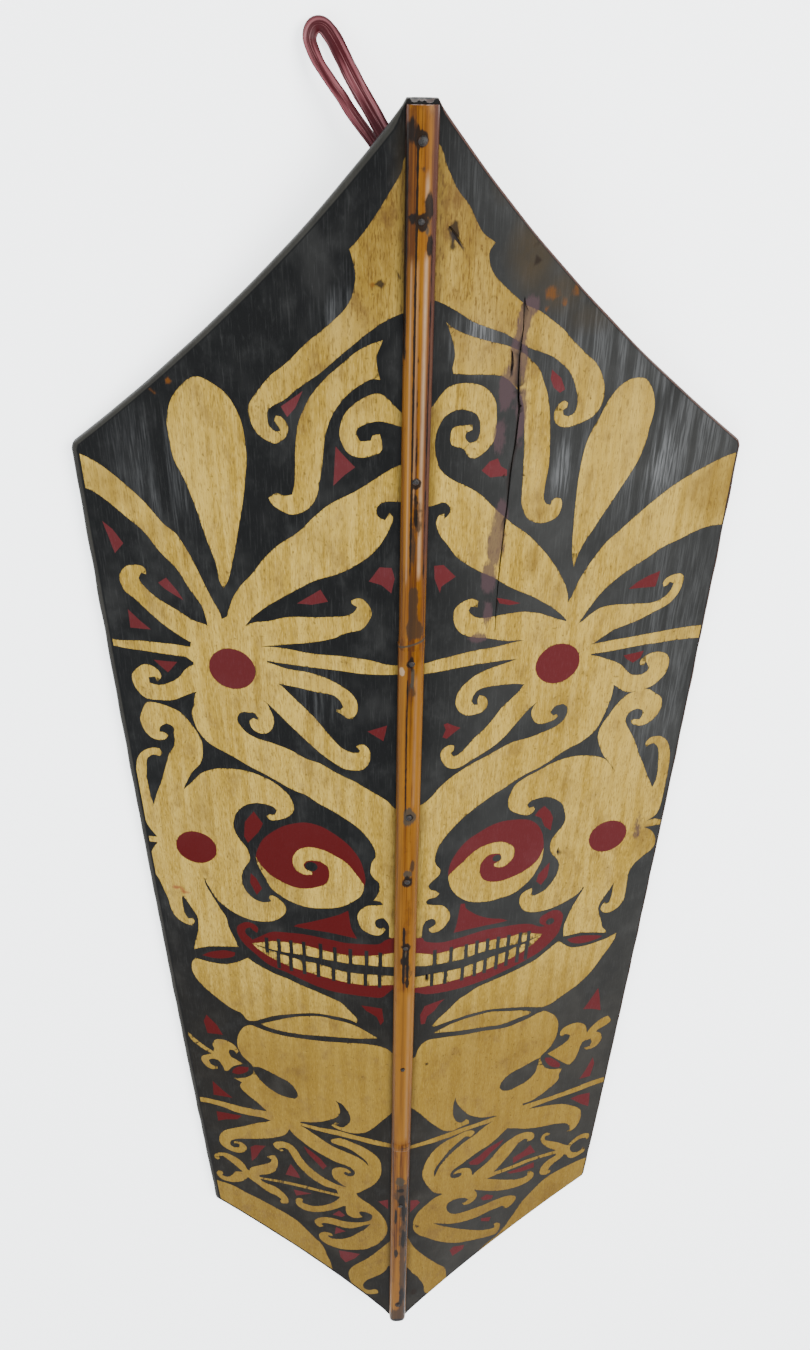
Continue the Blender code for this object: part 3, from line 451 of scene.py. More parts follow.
    Motif("lower body", Paint.BARE, path("""
    4,690 10,685 12.5,676.7 15.8,670.8 21.7,667.5 30,667.8 40,668.3 50,669.7 66.7,669.7 75,670.5
    88.3,670.8 98.3,668 108.3,664.2 115,660.8 120,659.7 125,663.3 130,668.3 133.3,675 134.7,683.3
    134.2,695 131.7,705 127.5,711.7 123.3,716.7 122,720.8 123.3,725 125,730.8 130,737.5 138.3,740.3
    143.7,740.8 143.3,744.2 141.7,748.3 142,755 138.3,761.7 131.7,768.3 125,774.2 118.3,778.3
    110.8,779.7 112,790 104,797 92,797 86.7,789.2 78.3,788.3 70,785.8 61.7,780 56.7,773.3 51.7,765
    48.3,756.7 47.5,750.8 46,758 45.8,765 46.7,776.7 50,785 54.2,788.3 57.5,786 58.3,784.7 61,787
    61.3,791.7 55,794 46.7,797 41.7,796 36.7,792.5 31.7,785.8 26.7,779.2 21.7,771.7 16.7,763.3
    10.8,755 4,745""")),
    Motif("lower line to ridge", Paint.BARE, path("""
    94,790 86.7,790 76.7,791.7 66.7,794.2 55,796.3 45,798.3 33.3,800.8 21.7,803.3 10,805 4,806 4,810
    10,810 20,809.2 30,808.3 40,806.7 50,804.2 58.3,801.7 70,799.2 80,797.5 85,795.8 94,797""")),
    Motif("lower line to edge", Paint.BARE, path("""
    104,784 110.8,782.5 120,780.8 133.3,778.7 146.7,775.8 160,772.5 175,768.3 189.2,766.7 198,766
    198,772.5 188.8,773.3 175,775.8 160,779.7 146.7,782.2 133.3,785 123.3,787.5 115,790 104,793""")),
    Motif("small flower", Paint.BARE, path("""
    128.3,716.7 138.3,710.8 145,705 146.7,700.8 146.3,697.5 141.7,695 140,698.3 137.5,695 138,689.2
    142.5,685 150,683.3 156.7,685.8 160.8,690.8 162.5,699.2 166.7,691.7 173.3,685 179.7,682.5
    183.3,689.2 180.8,693.3 172.5,698 170.8,700.3 175,703.3 177.2,710 175.8,716.7 170.8,721.7
    164.2,722.5 162,719.2 166.7,718.3 168.3,713.3 166.7,709.2 160.8,710 158.3,715 156.7,725
    154.2,733.3 150.8,738.3 147.5,736.7 140,729.2 133.3,722.5""")),
    Motif("upper scrolls", Paint.BARE, path("""
    84,796 78.3,800 73.3,805 66.7,811.7 58.3,818.3 51.7,825 45,832.5 40,840 35.8,848.3 33.3,856.7
    32.5,861 31.3,855.8 32.5,848.3 36.7,839.2 42.5,829.2 50,819.2 58.3,810.8 62,811 64.2,813.3
    66.7,809.2 67.5,805.8 64.2,802.5 58.3,802.5 50,806.3 41.7,810 33.3,816.7 27.5,825 23.3,835
    20.8,846.7 20.8,856.7 23.3,866.7 27.5,876.7 32.5,885.8 40.8,891.3 33.3,895 25,903.3 18.3,911.7
    14.2,921.7 13,933.3 15,943.3 20,951.7 26.7,958.3 35,966.7 42,972.5 50,977.5 60,981.7 70,983
    83.3,983.7 91.7,983.3 98.3,981.7 100.8,976.7 102,970 101.7,965 98.3,962.5 94.2,963.3 96.7,967.5
    95,970.3 86.7,970.3 78.3,967.5 70,963.3 61.7,958.3 55,954.2 46.7,948.3 38.3,941.7 33.3,936.7
    40,940 48.3,944.2 58.3,946.2 70,945.8 80,943.3 88.3,939.2 96.7,936.7 101.7,935 104.2,937.5
    103.3,940 107.5,940.3 111.7,936.7 114.7,930.8 115,925 110.8,921.2 103.3,920.3 93.3,922.5
    83.3,925.8 71.7,928.3 61.7,930 53.3,929.2 48.3,925 45.8,918.3 45.8,911.7 49.2,906.7 56.7,904.7
    63.3,906.7 66.7,910 64.5,913 60.8,914.2 62.5,918 67.5,918 72.5,914.2 75,908.3 74.2,901.7
    71.7,896.7 80,900.8 90,905.8 100,908.7 108.3,909.2 118.3,907.5 126.7,903.3 130.3,897.5
    130.3,891.7 127.5,887.5 124.2,887.5 124.2,893.3 120,895.3 113.3,895.8 105,893.3 96.7,890
    88.3,885.8 83.3,883.3 91.7,880.8 101.7,878.3 113.3,875 123.3,871.7 133.3,870 143.3,869.2
    153,868.3 153,863.3 140,864.2 130,865.8 120,867.5 110,870.8 100,873.3 90,874.7 93.3,870
    98.3,861.7 103.3,853.3 107.5,845 110.8,838.3 116.7,833.7 119.7,835 119.7,838.7 124.2,837.5
    126.2,832.5 124.2,826.7 118.3,823.7 110,824.7 101.7,830 95,836.7 90,845 85,853.3 78.3,861.7
    71.7,868.3 68.7,872.5 67.5,865 65,860 58.3,857.5 53.3,859.2 50,862.5 50.5,865 53.3,863.3
    57.5,864.2 58.3,866.7 55.8,870 52.5,870.3 48.3,868.3 47.2,864.2 48.3,859.2 51.7,855 58.3,850
    66.7,842.5 75,835.8 83.3,830 90,822.5 94.2,816.7 98.3,811.3 106.7,814.2 116.7,818.3 130,820.5
    141.7,820.8 150,821.7 156.7,824.2 160,829.2 160.8,834.7 157.5,836.7 161.7,837.5 166.7,832.5
    169.7,823.3 169.7,811.7 166.7,805 160,799.2 150,793.3 138.3,790.8 126.7,790 112,789 95,788""")),
    Motif("crossed tendrils", Paint.BARE, path("""
    150,863.3 145,859.2 138.3,851.7 134.2,845 132.8,839.2 134.2,834.2 138.3,831.7 141.7,834.2
    140.8,836.7 138,836.3 136.7,839.2 138.3,843.3 145,847.5 151.7,851.7 157.5,856.7 161.7,859.5
    164.2,855 169.2,849.2 175.8,846.3 180.8,847.5 182.8,850.8 180.5,857 178.7,853.3 173.3,853.3
    168.3,856.7 165,860.8 164.2,864.2 165,868.3 168.3,872.5 173.3,873.3 176.7,870.8 177.5,867.5
    179.7,870 179.7,875 175.8,878.3 170,881.3 165,880 161.7,875 160,872.5 156.7,876.7 150.8,882.5
    146.7,887.5 145,892.5 147.5,893.5 147.5,896.7 144.2,899.2 139.7,898.3 136.7,895 136.7,888.3
    139.2,881.7 144.2,875.8 150,871.7 151,867""")),
    Motif("corner band", Paint.BARE, path("""
    200,884 185.3,885.8 175,888.3 165,892.5 155,897.5 146.7,902.5 140,909.2 133.3,918.3 126.7,928.3
    121.7,936.7 118.3,945 115,953.3 110.8,963.3 107.5,971.7 103.3,978.3 98.5,986.7 91.5,993.3
    85,1001.7 80,1009 95,1012 150,965 200,925""")),
    Motif("bottom leaf", Paint.BARE, path("""
    4,949 8.3,951.7 10.8,958.3 14.2,968.3 18,976.5 22,984 27.5,993.3 33.3,1001.7 40,1011.7 46.7,1020
    48.8,1026.7 49.5,1036.7 50,1050 33,1066 27.5,1058 26.7,1048.3 25,1040 21.7,1031.7 18.3,1023.3
    14.2,1016.7 10.8,1008.3 8.3,1003.3 4,1000""")),
    disc("flower eye", Paint.RED, 98, 318.5, 15.0),
    disc("head eye", Paint.RED, 153, 476.3, 14.8),
    Motif("eyeball", Paint.RED, path("""
    31,490 31.7,479.2 34.2,472.5 38.3,465 44.2,458.3 50,454.2 58.3,449.2 66.7,446.2 75,445.8
    83.3,446.7 90.8,449.2 96.7,455 100,461.7 102.2,470 102.8,478 102.5,488 100,496 93,505 80,512
    60,514 45,508 36,500""")),
    Motif("eye spiral", Paint.BARE, path("""
    31,490 32.5,500 36,507 40,512.5 46.7,518.3 55,521.3 65,522.2 73.3,520.8 81.7,518.7 88.3,514.2
    95,506.7 100,496.7 102.5,488.3 103,477.5 100,486.7 95,493 88.5,497.7 81.7,500.8 71.7,503.3
    63.3,502.2 57.5,498.3 54.7,490.8 55.3,483.3 57.5,479.2 60.8,475.8 65,475.3 69.2,476.3 70.5,479.5
    70,482.5 67.5,483.8 65,485 65.5,487.5 70,489.7 75,488.3 79.2,483.3 80.5,477.5 79.2,471.7 75,467.5
    68.3,464.7 60.8,465 53.3,467.5 46.7,472.5 40.8,479.2 35,485""")),
    disc("pupil", Paint.GROUND, 67.2, 480, 3.3),
    Motif("lips", Paint.RED, path("""
    4,548 12.5,548.3 15,552.5 21.7,555.8 30,557.2 41.7,555.8 50,554.2 61.7,552.2 75,552 90,552.5
    100,555 106.7,559 112,560 106.8,555 106.7,549.2 110,546.7 116.7,543.7 122.5,545.8 125.3,550.8
    125.5,556 125,561.7 123.3,570 116.7,580 108.3,588.3 100,593.3 90,598.3 80,602.5 70,606.7 60,609.7
    50,611.7 40,613 26.7,613.3 16.7,611.7 10,608.3 4,607""")),
    disc("lip curl", Paint.GROUND, 115.3, 555.5, 3.4),
    Motif("teeth", Paint.BARE, path("""
    4,563 10,564.2 20,567.8 30,568.3 40,566.3 50,565.5 60,565 70,564.5 80,564.7 90,563.3 96.7,563.3
    103.3,565.8 110,567.8 107.5,571.7 101.7,578.3 93.3,585 83.3,590 73.3,594.2 63.3,597.5 53.3,600
    40,602 30,603 20,603 10,602.5 4,602""")),
    Motif("gap between teeth", Paint.GROUND, path("""
    4,577.5 10,578.3 16.7,580 33.3,580.3 46.7,579.7 55,577 66.7,575 80,574.2 88.3,573.7 96.7,572.5
    103.3,570.3 109.7,568.7 103.3,571.3 96.7,575 90,576.3 81.7,580.3 71.7,582.5 63.3,585 53.3,587.5
    46.7,589.2 33.3,590 20,590 4,590""")),
    *tooth_lines((23.3, 36.3, 48.3), 564, 582.5),
    *tooth_lines((56.7, 65.3, 73.8, 82.2, 91.7, 98.7), 562, 578.5),
    *tooth_lines((21.7, 32.5, 46.3, 56.3, 64.5, 73.8, 82, 90.8, 98), 583, 604, lift=0.2),
    Motif("body lens", Paint.GROUND, path("""
    121.5,720.5 120.3,730 119.2,738.3 115.8,744.2 110,750 103.3,753.3 95.8,756.3 90,754.2 87.2,750
    88.3,743.3 93.3,735.8 100,730.8 108.3,726.7 116.7,722""")),
    Motif("jaw lens", Paint.RED, path("""
    131.7,579 138.3,577.7 146.7,578.2 156.7,580.7 162,582.5 158,585 150,586.5 141.7,586 135,583""")),
    Motif("lower lens", Paint.RED, path("""
    126.7,721.7 131.7,723.3 138.3,730 141.7,735.8 140.8,739.2 135,736.7 130,731.7 127,725.8""")),
    Motif("cheek point", Paint.RED, path("""
    41.7,520 45,520.3 45.8,525 50,530 56.7,535.8 66.7,540.8 75,543.3 80,546.3 73.3,547 60,547.5
    48.3,548.3 37.5,549.2 39.2,541.7 40.3,531.7""")),
    *shards(Paint.RED, (
        "38.7,181.7 43.3,176.7 47.8,175.3 50,180 54,182.5 54,186 44.2,186.3",
        "12.5,239 18.3,239 20.8,241.7 26.2,247.5 17.5,253.3 16.7,257.5 13,247.5",
        "53.3,265 61.7,267.5 68.8,270.5 61.7,271 55,269",
        "75.8,126.7 81.7,131.7 84.7,138.3 81.7,140 77.5,136.7 75.3,131.7",
        "160.8,258.3 159.2,269.2 140.8,268.8 146.7,264.2 153.3,260.8",
        "144.2,318.3 158.3,316.7 156.7,321.7 151.7,325 146.7,321.7",
        "25,354.2 34.2,359.2 30,362.5 25,366.7 22.2,365 24.2,359.2 22.5,355",
        "100,437.5 105,443.3 107.5,450 106.7,461.7 101.7,456.7 98.3,448.3 93.3,445 95.8,440.8",
        "109.2,493.3 106.7,495.8 100.8,503.3 100,510 104.2,514.7 108.3,507.5 109,499",
        "33.3,621.7 25,623.3 16.7,625.8 13.3,635 14.2,646.7 17.5,646.7 19.2,638.3 25,633.3 29.2,625.8",
        "166.3,644.2 168.3,653.3 171.7,673.3 163.3,669.2 155.3,667.5 160.8,656.7",
        "172,735 174.5,743.3 172.5,760.8 162.5,761.7 166.7,751.7",
        "156.7,787.5 164.2,785 175,785 175.8,795 175.8,805 168.3,799.2 161.7,792.5",
        "96.7,826.7 93.3,833.3 85,843.3 78.3,853.3 73.3,857.5 65.8,855 64.2,850.8 73.3,845 81.7,835",
        "123.3,845 129.2,858.3 118.3,861.7 108.3,868.3 107.5,859.2 116.7,853.3",
        "129.2,874.2 130,882.5 116.7,885 106.7,884.2 103.3,880.8 116.7,878.3",
        "10,890 16.7,891.7 19.2,896.7 13.3,905 10,909.2",
        "85,909.2 91.7,914.2 90,919.2 81.7,918.3 79.2,913.3",
        "81.7,948.3 91.7,950 90,956.7 81.7,953.3",
        "55,986.7 66.7,988.3 65,995 55,1003.3 51.7,991.7",
    )),
)


def between(value: float, low: float, high: float) -> float:
    """Keeps a number between two limits."""
    return max(low, min(high, value))


@dataclass(frozen=True)
class BoardForm:
    """The carved board's outline and heights, the same as in the solids. All in metres."""

    length: float = 1097 * MM
    tip_depth: float = 3 * MM
    corner_loss: float = 1.8 * MM
    top_half_width: float = 9.5 * MM
    bottom_half_width: float = 5 * MM
    shoulder: float = 177 * MM
    shoulder_half_width: float = 197.3 * MM
    heel_left: float = 173 * MM
    heel_right: float = 183 * MM
    heel_half_width_left: float = 174.5 * MM
    heel_half_width_right: float = 181 * MM
    side_bow: float = 2.6 * MM
    top_sweep: float = 0.80
    bottom_sweep: float = 0.76
    slope: float = math.radians(11.0)
    edge_height: float = 9 * MM
    plank_depth: float = 10.4 * MM
    crest: float = 8 * MM
    foot_land: float = 7 * MM
    hollow: float = 6 * MM
    chamfer_left: float = 5.2 * MM
    chamfer_right: float = 2.4 * MM
    chamfer_drop: float = 2.6 * MM
    strip_overhang: float = 3 * MM

    @property
    def fall(self) -> float:
        """How much the face falls for each metre across."""
        return math.tan(self.slope)

    @property
    def top_end(self) -> float:
        """The Y of the top end's middle."""
        return (self.tip_depth + self.length + self.strip_overhang) / 2 - self.tip_depth

    def along(self, down: float) -> float:
        """The Y of a place given by its distance from the top end."""
        return self.top_end - down

    def half_width(self, down: float, side: int) -> float:
        """How far the board reaches from its ridge.

        Args:
            down: Distance from the top end.
            side: -1 for the left half, 1 for the right half.

        Returns:
            The half width.
        """
        left = side < 0
        heel = self.length - (self.heel_left if left else self.heel_right)
        heel_width = self.heel_half_width_left if left else self.heel_half_width_right
        if down <= self.shoulder:
            place, reach = max(down, 0.0), self.shoulder
            start, end, opening = self.top_half_width, self.shoulder_half_width, self.top_sweep
            start -= self.corner_loss * (max(-down, 0.0) / self.tip_depth) ** 2
        elif down >= heel:
            place, reach = max(self.length - down, 0.0), self.length - heel
            start, end, opening = self.bottom_half_width, heel_width, self.bottom_sweep
        else:
            share = (down - self.shoulder) / (heel - self.shoulder)
            straight = self.shoulder_half_width + share * (heel_width - self.shoulder_half_width)
            return straight + self.side_bow * 4 * share * (1 - share)
        bend = (end - start - opening * reach) / reach**2
        return start + opening * place + bend * place**2

    def ridge(self, down: float) -> float:
        """Height of the sharp ridge line.

        Args:
            down: Distance from the top end.

        Returns:
            The height.
        """
        upper = self.edge_height + self.shoulder_half_width * self.fall
        lower = self.edge_height + self.heel_half_width_left * self.fall
        share = (down - self.shoulder) / (self.length - self.heel_left - self.shoulder)
        return upper + share * (lower - upper)

    def face(self, down: float, across: float) -> float:
        """Height of the painted face at a distance from the ridge."""
        return self.ridge(down) - max(abs(across), self.crest) * self.fall

    def back(self, down: float, across: float) -> float:
        """Height of the hollow back at a distance from the ridge."""
        return self.ridge(down) - self.plank_depth - max(abs(across), self.hollow) * self.fall

    def edge(self, down: float, side: int, wear: float) -> list[Point]:
        """The rounded edge of the board in section, from the face round to the back.

        Args:
            down: Distance from the top end.
            side: -1 for the left edge, 1 for the right edge.
            wear: How much the edge is worn back.

        Returns:
            Points as (across, height), across counted away from the ridge.
        """
        full = self.half_width(down, side)
        crest = min(self.crest, 0.8 * full)
        wanted = self.chamfer_left if side < 0 else self.chamfer_right
        chamfer = min(wanted, 0.6 * (full - crest))
        land = min(self.foot_land, 0.4 * full)
        width = full - wear
        shoulder = self.face(down, full - chamfer)
        drop = shoulder - self.face(down, full) + self.chamfer_drop * chamfer / wanted
        foot = max(self.face(down, full) - self.edge_height, 0.0)
        inner = max(self.back(down, full - land), foot)
        points = []
        for step in range(5):
            turn = math.pi / 2 * step / 4
            points.append((
                full - chamfer + (width - full + chamfer) * math.sin(turn),
                shoulder - drop * (1 - math.cos(turn)),
            ))
        wall = points[-1][1]
        points.append((width, 0.5 * (wall + foot)))
        points.append((width, foot + 0.22 * (wall - foot)))
        points.append((width - 0.12 * land, foot))
        points.append((full - 0.55 * land, foot))
        points.append((full - land, inner))
        return points


BOARD = BoardForm()


def on_board(side: int, point: Point) -> Point:
    """Turns a place on the painted face into plan coordinates.

    Args:
        side: -1 for the left half, 1 for the right half.
        point: mm across the face from the ridge and mm down from the top end.

    Returns:
        The X and Y in metres.
    """
    return side * point[0] * MM * math.cos(BOARD.slope), BOARD.along(point[1] * MM)


def inside(points: np.ndarray, outline: np.ndarray) -> np.ndarray:
    """Tests which points lie in a closed outline, by counting crossings.

    Args:
        points: N by 2 places.
        outline: M by 2 corners.

    Returns:
        N booleans.
    """
    result = np.zeros(len(points), bool)
    low, high = outline.min(0), outline.max(0)
    near = np.nonzero(((points >= low) & (points <= high)).all(1))[0]
    if not len(near):
        return result
    x, y = points[near, 0], points[near, 1]
    count = np.zeros(len(near), int)
    for (ax, ay), (bx, by) in zip(outline, np.roll(outline, -1, 0)):
        if ay == by:
            continue
        crosses = (ay > y) != (by > y)
        count += crosses & (x < (bx - ax) * (y - ay) / (by - ay) + ax)
    result[near] = count % 2 == 1
    return result


@dataclass(frozen=True)
class Brush:
    """How a painted edge runs: its sampling, its corners and the hand's small waver. mm."""

    spacing: float = 1.9
    corner: float = math.radians(62)
    waver: float = 0.22
    waver_length: float = 9.0

    def outline(self, motif: Motif, side: int) -> np.ndarray:
        """Samples a motif's edge as a smooth curve with its corners kept.

        Args:
            motif: The motif.
            side: -1 for the left half, 1 for the right half.

        Returns:
            The edge in metres, N by 2.
        """
        corners = [Vector(point) for point in motif.points]
        count = len(corners)
        sharp = [not motif.curved or self._turn(corners, index) > self.corner for index in range(count)]
        samples = []
        for index in range(count):
            start, end = corners[index], corners[(index + 1) % count]
            before = start if sharp[index] else corners[index - 1]
            after = end if sharp[(index + 1) % count] else corners[(index + 2) % count]
            length = (end - start).length
            first = (end - before) * (0.5 if before != start else 1.0)
            last = (after - start) * (0.5 if after != end else 1.0)
            first = first * min(1.0, length / max(first.length, 1e-6))
            last = last * min(1.0, length / max(last.length, 1e-6))
            steps = max(1, round(length / self.spacing))
            for step in range(steps):
                t = step / steps
                samples.append(
                    (2 * t**3 - 3 * t**2 + 1) * start + (t**3 - 2 * t**2 + t) * first
                    + (3 * t**2 - 2 * t**3) * end + (t**3 - t**2) * last
                )
        edge = []
        for point in samples:
            place = Vector((point.x / self.waver_length, point.y / self.waver_length, side * 7.0))
            shift = noise.noise_vector(place) * self.waver
            edge.append(on_board(side, (point.x + shift.x, point.y + shift.y)))
        return np.array(edge)

    @staticmethod
    def _turn(corners: Sequence[Vector], index: int) -> float:
        """How sharply the outline turns at one of its points.

        Args:
            corners: The outline's points.
            index: Which point.

        Returns:
            The angle in radians.
        """
        arrive = corners[index] - corners[index - 1]
        leave = corners[(index + 1) % len(corners)] - corners[index]
        return arrive.angle(leave, 0.0)


@dataclass(frozen=True)
class Crack:
    """A split in the wood: its line in mm on one half, its width and its depth in mm."""

    side: int
    line: tuple[Point, ...]
    width: float
    depth: float

    def outline(self) -> np.ndarray:
        """The split's edge, a thin lens round its line, in metres.

        Returns:
            N by 2 places.
        """
        points = [Vector(point) for point in self.line]
        lefts, rights = [], []
        last = len(points) - 1
        for index, point in enumerate(points):
            ahead = points[min(index + 1, last)] - points[max(index - 1, 0)]
            across = Vector((-ahead.y, ahead.x)).normalized()
            reach = 0.5 * self.width * (0.25 + 0.75 * math.sin(math.pi * (index + 0.3) / (last + 0.6)))
            lefts.append(point + across * reach)
            rights.append(point - across * reach)
        return np.array([on_board(self.side, tuple(point)) for point in lefts + rights[::-1]])

    def middle(self) -> np.ndarray:
        """The split's line in metres, in short steps.

        Returns:
            N by 2 places.
        """
        places = []
        for (ax, ay), (bx, by) in zip(self.line, self.line[1:]):
            steps = max(1, round(math.hypot(bx - ax, by - ay) / 3.0))
            for step in range(steps):
                places.append((ax + (bx - ax) * step / steps, ay + (by - ay) * step / steps))
        return np.array([on_board(self.side, point) for point in places])


@dataclass(frozen=True)
class StainOrPaintedLight:
    """A soft mark on the face, a stain or a patch of painted sheen or shade: middle and half sizes in mm on
    one half, and strength.
    """

    side: int
    across: float
    down: float
    half_across: float
    half_down: float
    strength: float = 1.0

    def amount(self, places: np.ndarray) -> np.ndarray:
        """How strong the mark is at each place.

        Args:
            places: N by 2 places in metres.

        Returns:
            N numbers from 0 to its strength.
        """
        x, y = on_board(self.side, (self.across, self.down))
        across = (places[:, 0] - x) / (self.half_across * MM)
        along = (places[:, 1] - y) / (self.half_down * MM)
        away = np.hypot(across, along)
        return self.strength * np.clip(1.5 - 1.2 * away, 0.0, 1.0)


class Value:
    """A shader socket that takes part in Python expressions."""

    def __init__(self, shades: "Shades", socket: bpy.types.NodeSocket) -> None:
        """Keeps the socket and the material it belongs to."""
        self.shades = shades
        self.socket = socket

    def _math(self, operation: str, first: Any, second: Any) -> "Value":
        """Adds a Math node over two values."""
        return self.shades.value("ShaderNodeMath", {"operation": operation}, {0: first, 1: second})

    def __add__(self, other: Any) -> "Value":
        """Sum."""
        return self._math("ADD", self, other)

    __radd__ = __add__

    def __sub__(self, other: Any) -> "Value":
        """Difference."""
        return self._math("SUBTRACT", self, other)

    def __rsub__(self, other: Any) -> "Value":
        """Difference, reflected."""
        return self._math("SUBTRACT", other, self)

    def __mul__(self, other: Any) -> "Value":
        """Product."""
        return self._math("MULTIPLY", self, other)

    __rmul__ = __mul__

    def smooth(self, low: float, high: float) -> "Value":
        """Rises smoothly from 0 at low to 1 at high."""
        return self.shades.value(
            "ShaderNodeMapRange", {"interpolation_type": "SMOOTHSTEP"}, {0: self, 1: low, 2: high})

    def near(self, wanted: float) -> "Value":
        """1 where the value is the wanted one, 0 elsewhere."""
        return self.shades.value("ShaderNodeMath", {"operation": "COMPARE"}, {0: self, 1: wanted, 2: 0.3})

    def most(self, other: Any) -> "Value":
        """The larger of two values."""
        return self._math("MAXIMUM", self, other)


Colour = tuple[float, float, float]


class Shades:
    """Builds one material as a tree of nodes."""

    def __init__(self, name: str) -> None:
        """Starts a material with a Principled shader.

        Args:
            name: The material's name.
        """
        self.material = bpy.data.materials.new(name)
        self.material.use_nodes = True
        self.tree = self.material.node_tree
        self.tree.nodes.clear()
        output = self.tree.nodes.new("ShaderNodeOutputMaterial")
        self.shader = self.tree.nodes.new("ShaderNodeBsdfPrincipled")
        self.tree.links.new(self.shader.outputs["BSDF"], output.inputs["Surface"])

    def node(self, kind: str, settings: dict[str, Any], inputs: dict[Any, Any]) -> bpy.types.Node:
        """Adds any node.

        Args:
            kind: The node's type.
            settings: Its settings, set first; "stops" are a ramp's places and colours.
            inputs: Its sockets by name or number, each a number, a colour or a value.

        Returns:
            The node.
        """
        node = self.tree.nodes.new(kind)
        for name, setting in settings.items():
            if name == "stops":
                self._stops(node.color_ramp, setting)
            else:
                setattr(node, name, setting)
        for key, given in inputs.items():
            self.feed(node.inputs[key], given)
        return node

    @staticmethod
    def _stops(ramp: bpy.types.ColorRamp, stops: Sequence[tuple[float, Colour]]) -> None:
        """Sets a ramp's places and colours.

        Args:
            ramp: The ramp.
            stops: Its places and colours.
        """
        while len(ramp.elements) < len(stops):
            ramp.elements.new(0.5)
        for element, (place, colour) in zip(ramp.elements, stops):
            element.position = place
            element.color = (*colour, 1.0)

    def feed(self, socket: bpy.types.NodeSocket, given: Any) -> None:
        """Gives a socket a link or a value of its own.

        Args:
            socket: The socket.
            given: A value, a number or a colour.
        """
        if isinstance(given, Value):
            self.tree.links.new(given.socket, socket)
        elif isinstance(given, tuple) and socket.type == "RGBA":
            socket.default_value = (*given[:3], 1.0)
        else:
            socket.default_value = given

    def value(self, kind: str, settings: dict[str, Any], inputs: dict[Any, Any], output: Any = 0) -> Value:
        """Adds any node and wraps one of its outputs."""
        return Value(self, self.node(kind, settings, inputs).outputs[output])

    def attribute(self, name: str) -> Value:
        """A number stored on the mesh."""
        return self.value("ShaderNodeAttribute", {"attribute_name": name}, {}, "Fac")

    def place(self, stretch: Place, shift: Place = (0.0, 0.0, 0.0)) -> Value:
        """Object coordinates in metres, scaled by a share for each axis."""
        where = self.value("ShaderNodeTexCoord", {}, {}, "Object")
        return self.value("ShaderNodeMapping", {}, {"Vector": where, "Location": shift, "Scale": stretch})

    def noise(self, stretch: Place, detail: float = 3.0, roughness: float = 0.55,
              shift: Place = (0.0, 0.0, 0.0)) -> Value:
        """Noise with a given number of waves to the metre along each axis."""
        return self.value("ShaderNodeTexNoise", {}, {
            "Vector": self.place(stretch, shift), "Scale": 1.0, "Detail": detail, "Roughness": roughness})

    def mix(self, share: Any, first: Any, second: Any) -> Value:
        """Mixes two colours."""
        return self.value("ShaderNodeMix", {"data_type": "RGBA"}, {0: share, 6: first, 7: second}, 2)

    def coats(self, colour: Any, layers: Sequence[tuple[Any, Any]]) -> Any:
        """Lays colours over one another.

        Args:
            colour: The undermost colour.
            layers: Shares and colours, undermost first.

        Returns:
            The colour that shows.
        """
        for share, over in layers:
            colour = self.mix(share, colour, over)
        return colour

    def ramp(self, value: Value, stops: Sequence[tuple[float, Colour]]) -> Value:
        """Turns a number into a colour."""
        return self.value("ShaderNodeValToRGB", {"stops": stops}, {"Fac": value}, "Color")

    def finish(self, colour: Any, roughness: Any, height: Optional[Value] = None, strength: float = 0.3,
               depth: float = 0.0005, fixed: Optional[dict[str, Any]] = None) -> bpy.types.Material:
        """Feeds the shader.

        Args:
            colour: Base colour.
            roughness: Roughness.
            height: Relief, 0 to 1, if any.
            strength: Strength of the relief.
            depth: Depth of the relief in metres.
            fixed: Other sockets, each the same all over.

        Returns:
            The material.
        """
        self.feed(self.shader.inputs["Base Color"], colour)
        self.feed(self.shader.inputs["Roughness"], roughness)
        if height is not None:
            bump = self.value(
                "ShaderNodeBump", {}, {"Height": height, "Strength": strength, "Distance": depth}, "Normal")
            self.feed(self.shader.inputs["Normal"], bump)
        for name, setting in (fixed or {}).items():
            self.feed(self.shader.inputs[name], setting)
        return self.material


def place_piece(name: str, mesh: bpy.types.Mesh, material: Optional[bpy.types.Material]) -> bpy.types.Object:
    """Puts a mesh in the scene.

    Args:
        name: The piece's name.
        mesh: Its mesh, with its place in it.
        material: Its material, if it has one yet.

    Returns:
        The piece.
    """
    piece = bpy.data.objects.new(name, mesh)
    bpy.context.scene.collection.objects.link(piece)
    if material:
        mesh.materials.append(material)
    return piece


def store(mesh: bpy.types.Mesh, name: str, values: Sequence[float]) -> None:
    """Stores one number for each point."""
    layer = mesh.attributes.new(name, "FLOAT", "POINT")
    layer.data.foreach_set("value", np.array(values, np.float32))


def point_places(mesh: bpy.types.Mesh) -> np.ndarray:
    """Reads the places of a mesh's points.

    Args:
        mesh: The mesh.

    Returns:
        N by 3 places in metres.
    """
    flat = np.empty(len(mesh.vertices) * 3, np.float32)
    mesh.vertices.foreach_get("co", flat)
    return flat.reshape(-1, 3).astype(float)


def declare(piece: bpy.types.Object, nodes: Sequence[str]) -> None:
    """Says what a piece rides on and the solids that it stands for.

    Args:
        piece: The piece.
        nodes: The names of the solids.
    """
    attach(piece, "root")
    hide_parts(*nodes)
    faces = len(piece.data.polygons) if piece.type == "MESH" else 0
    LOG.info("%s: %d faces", piece.name, faces)


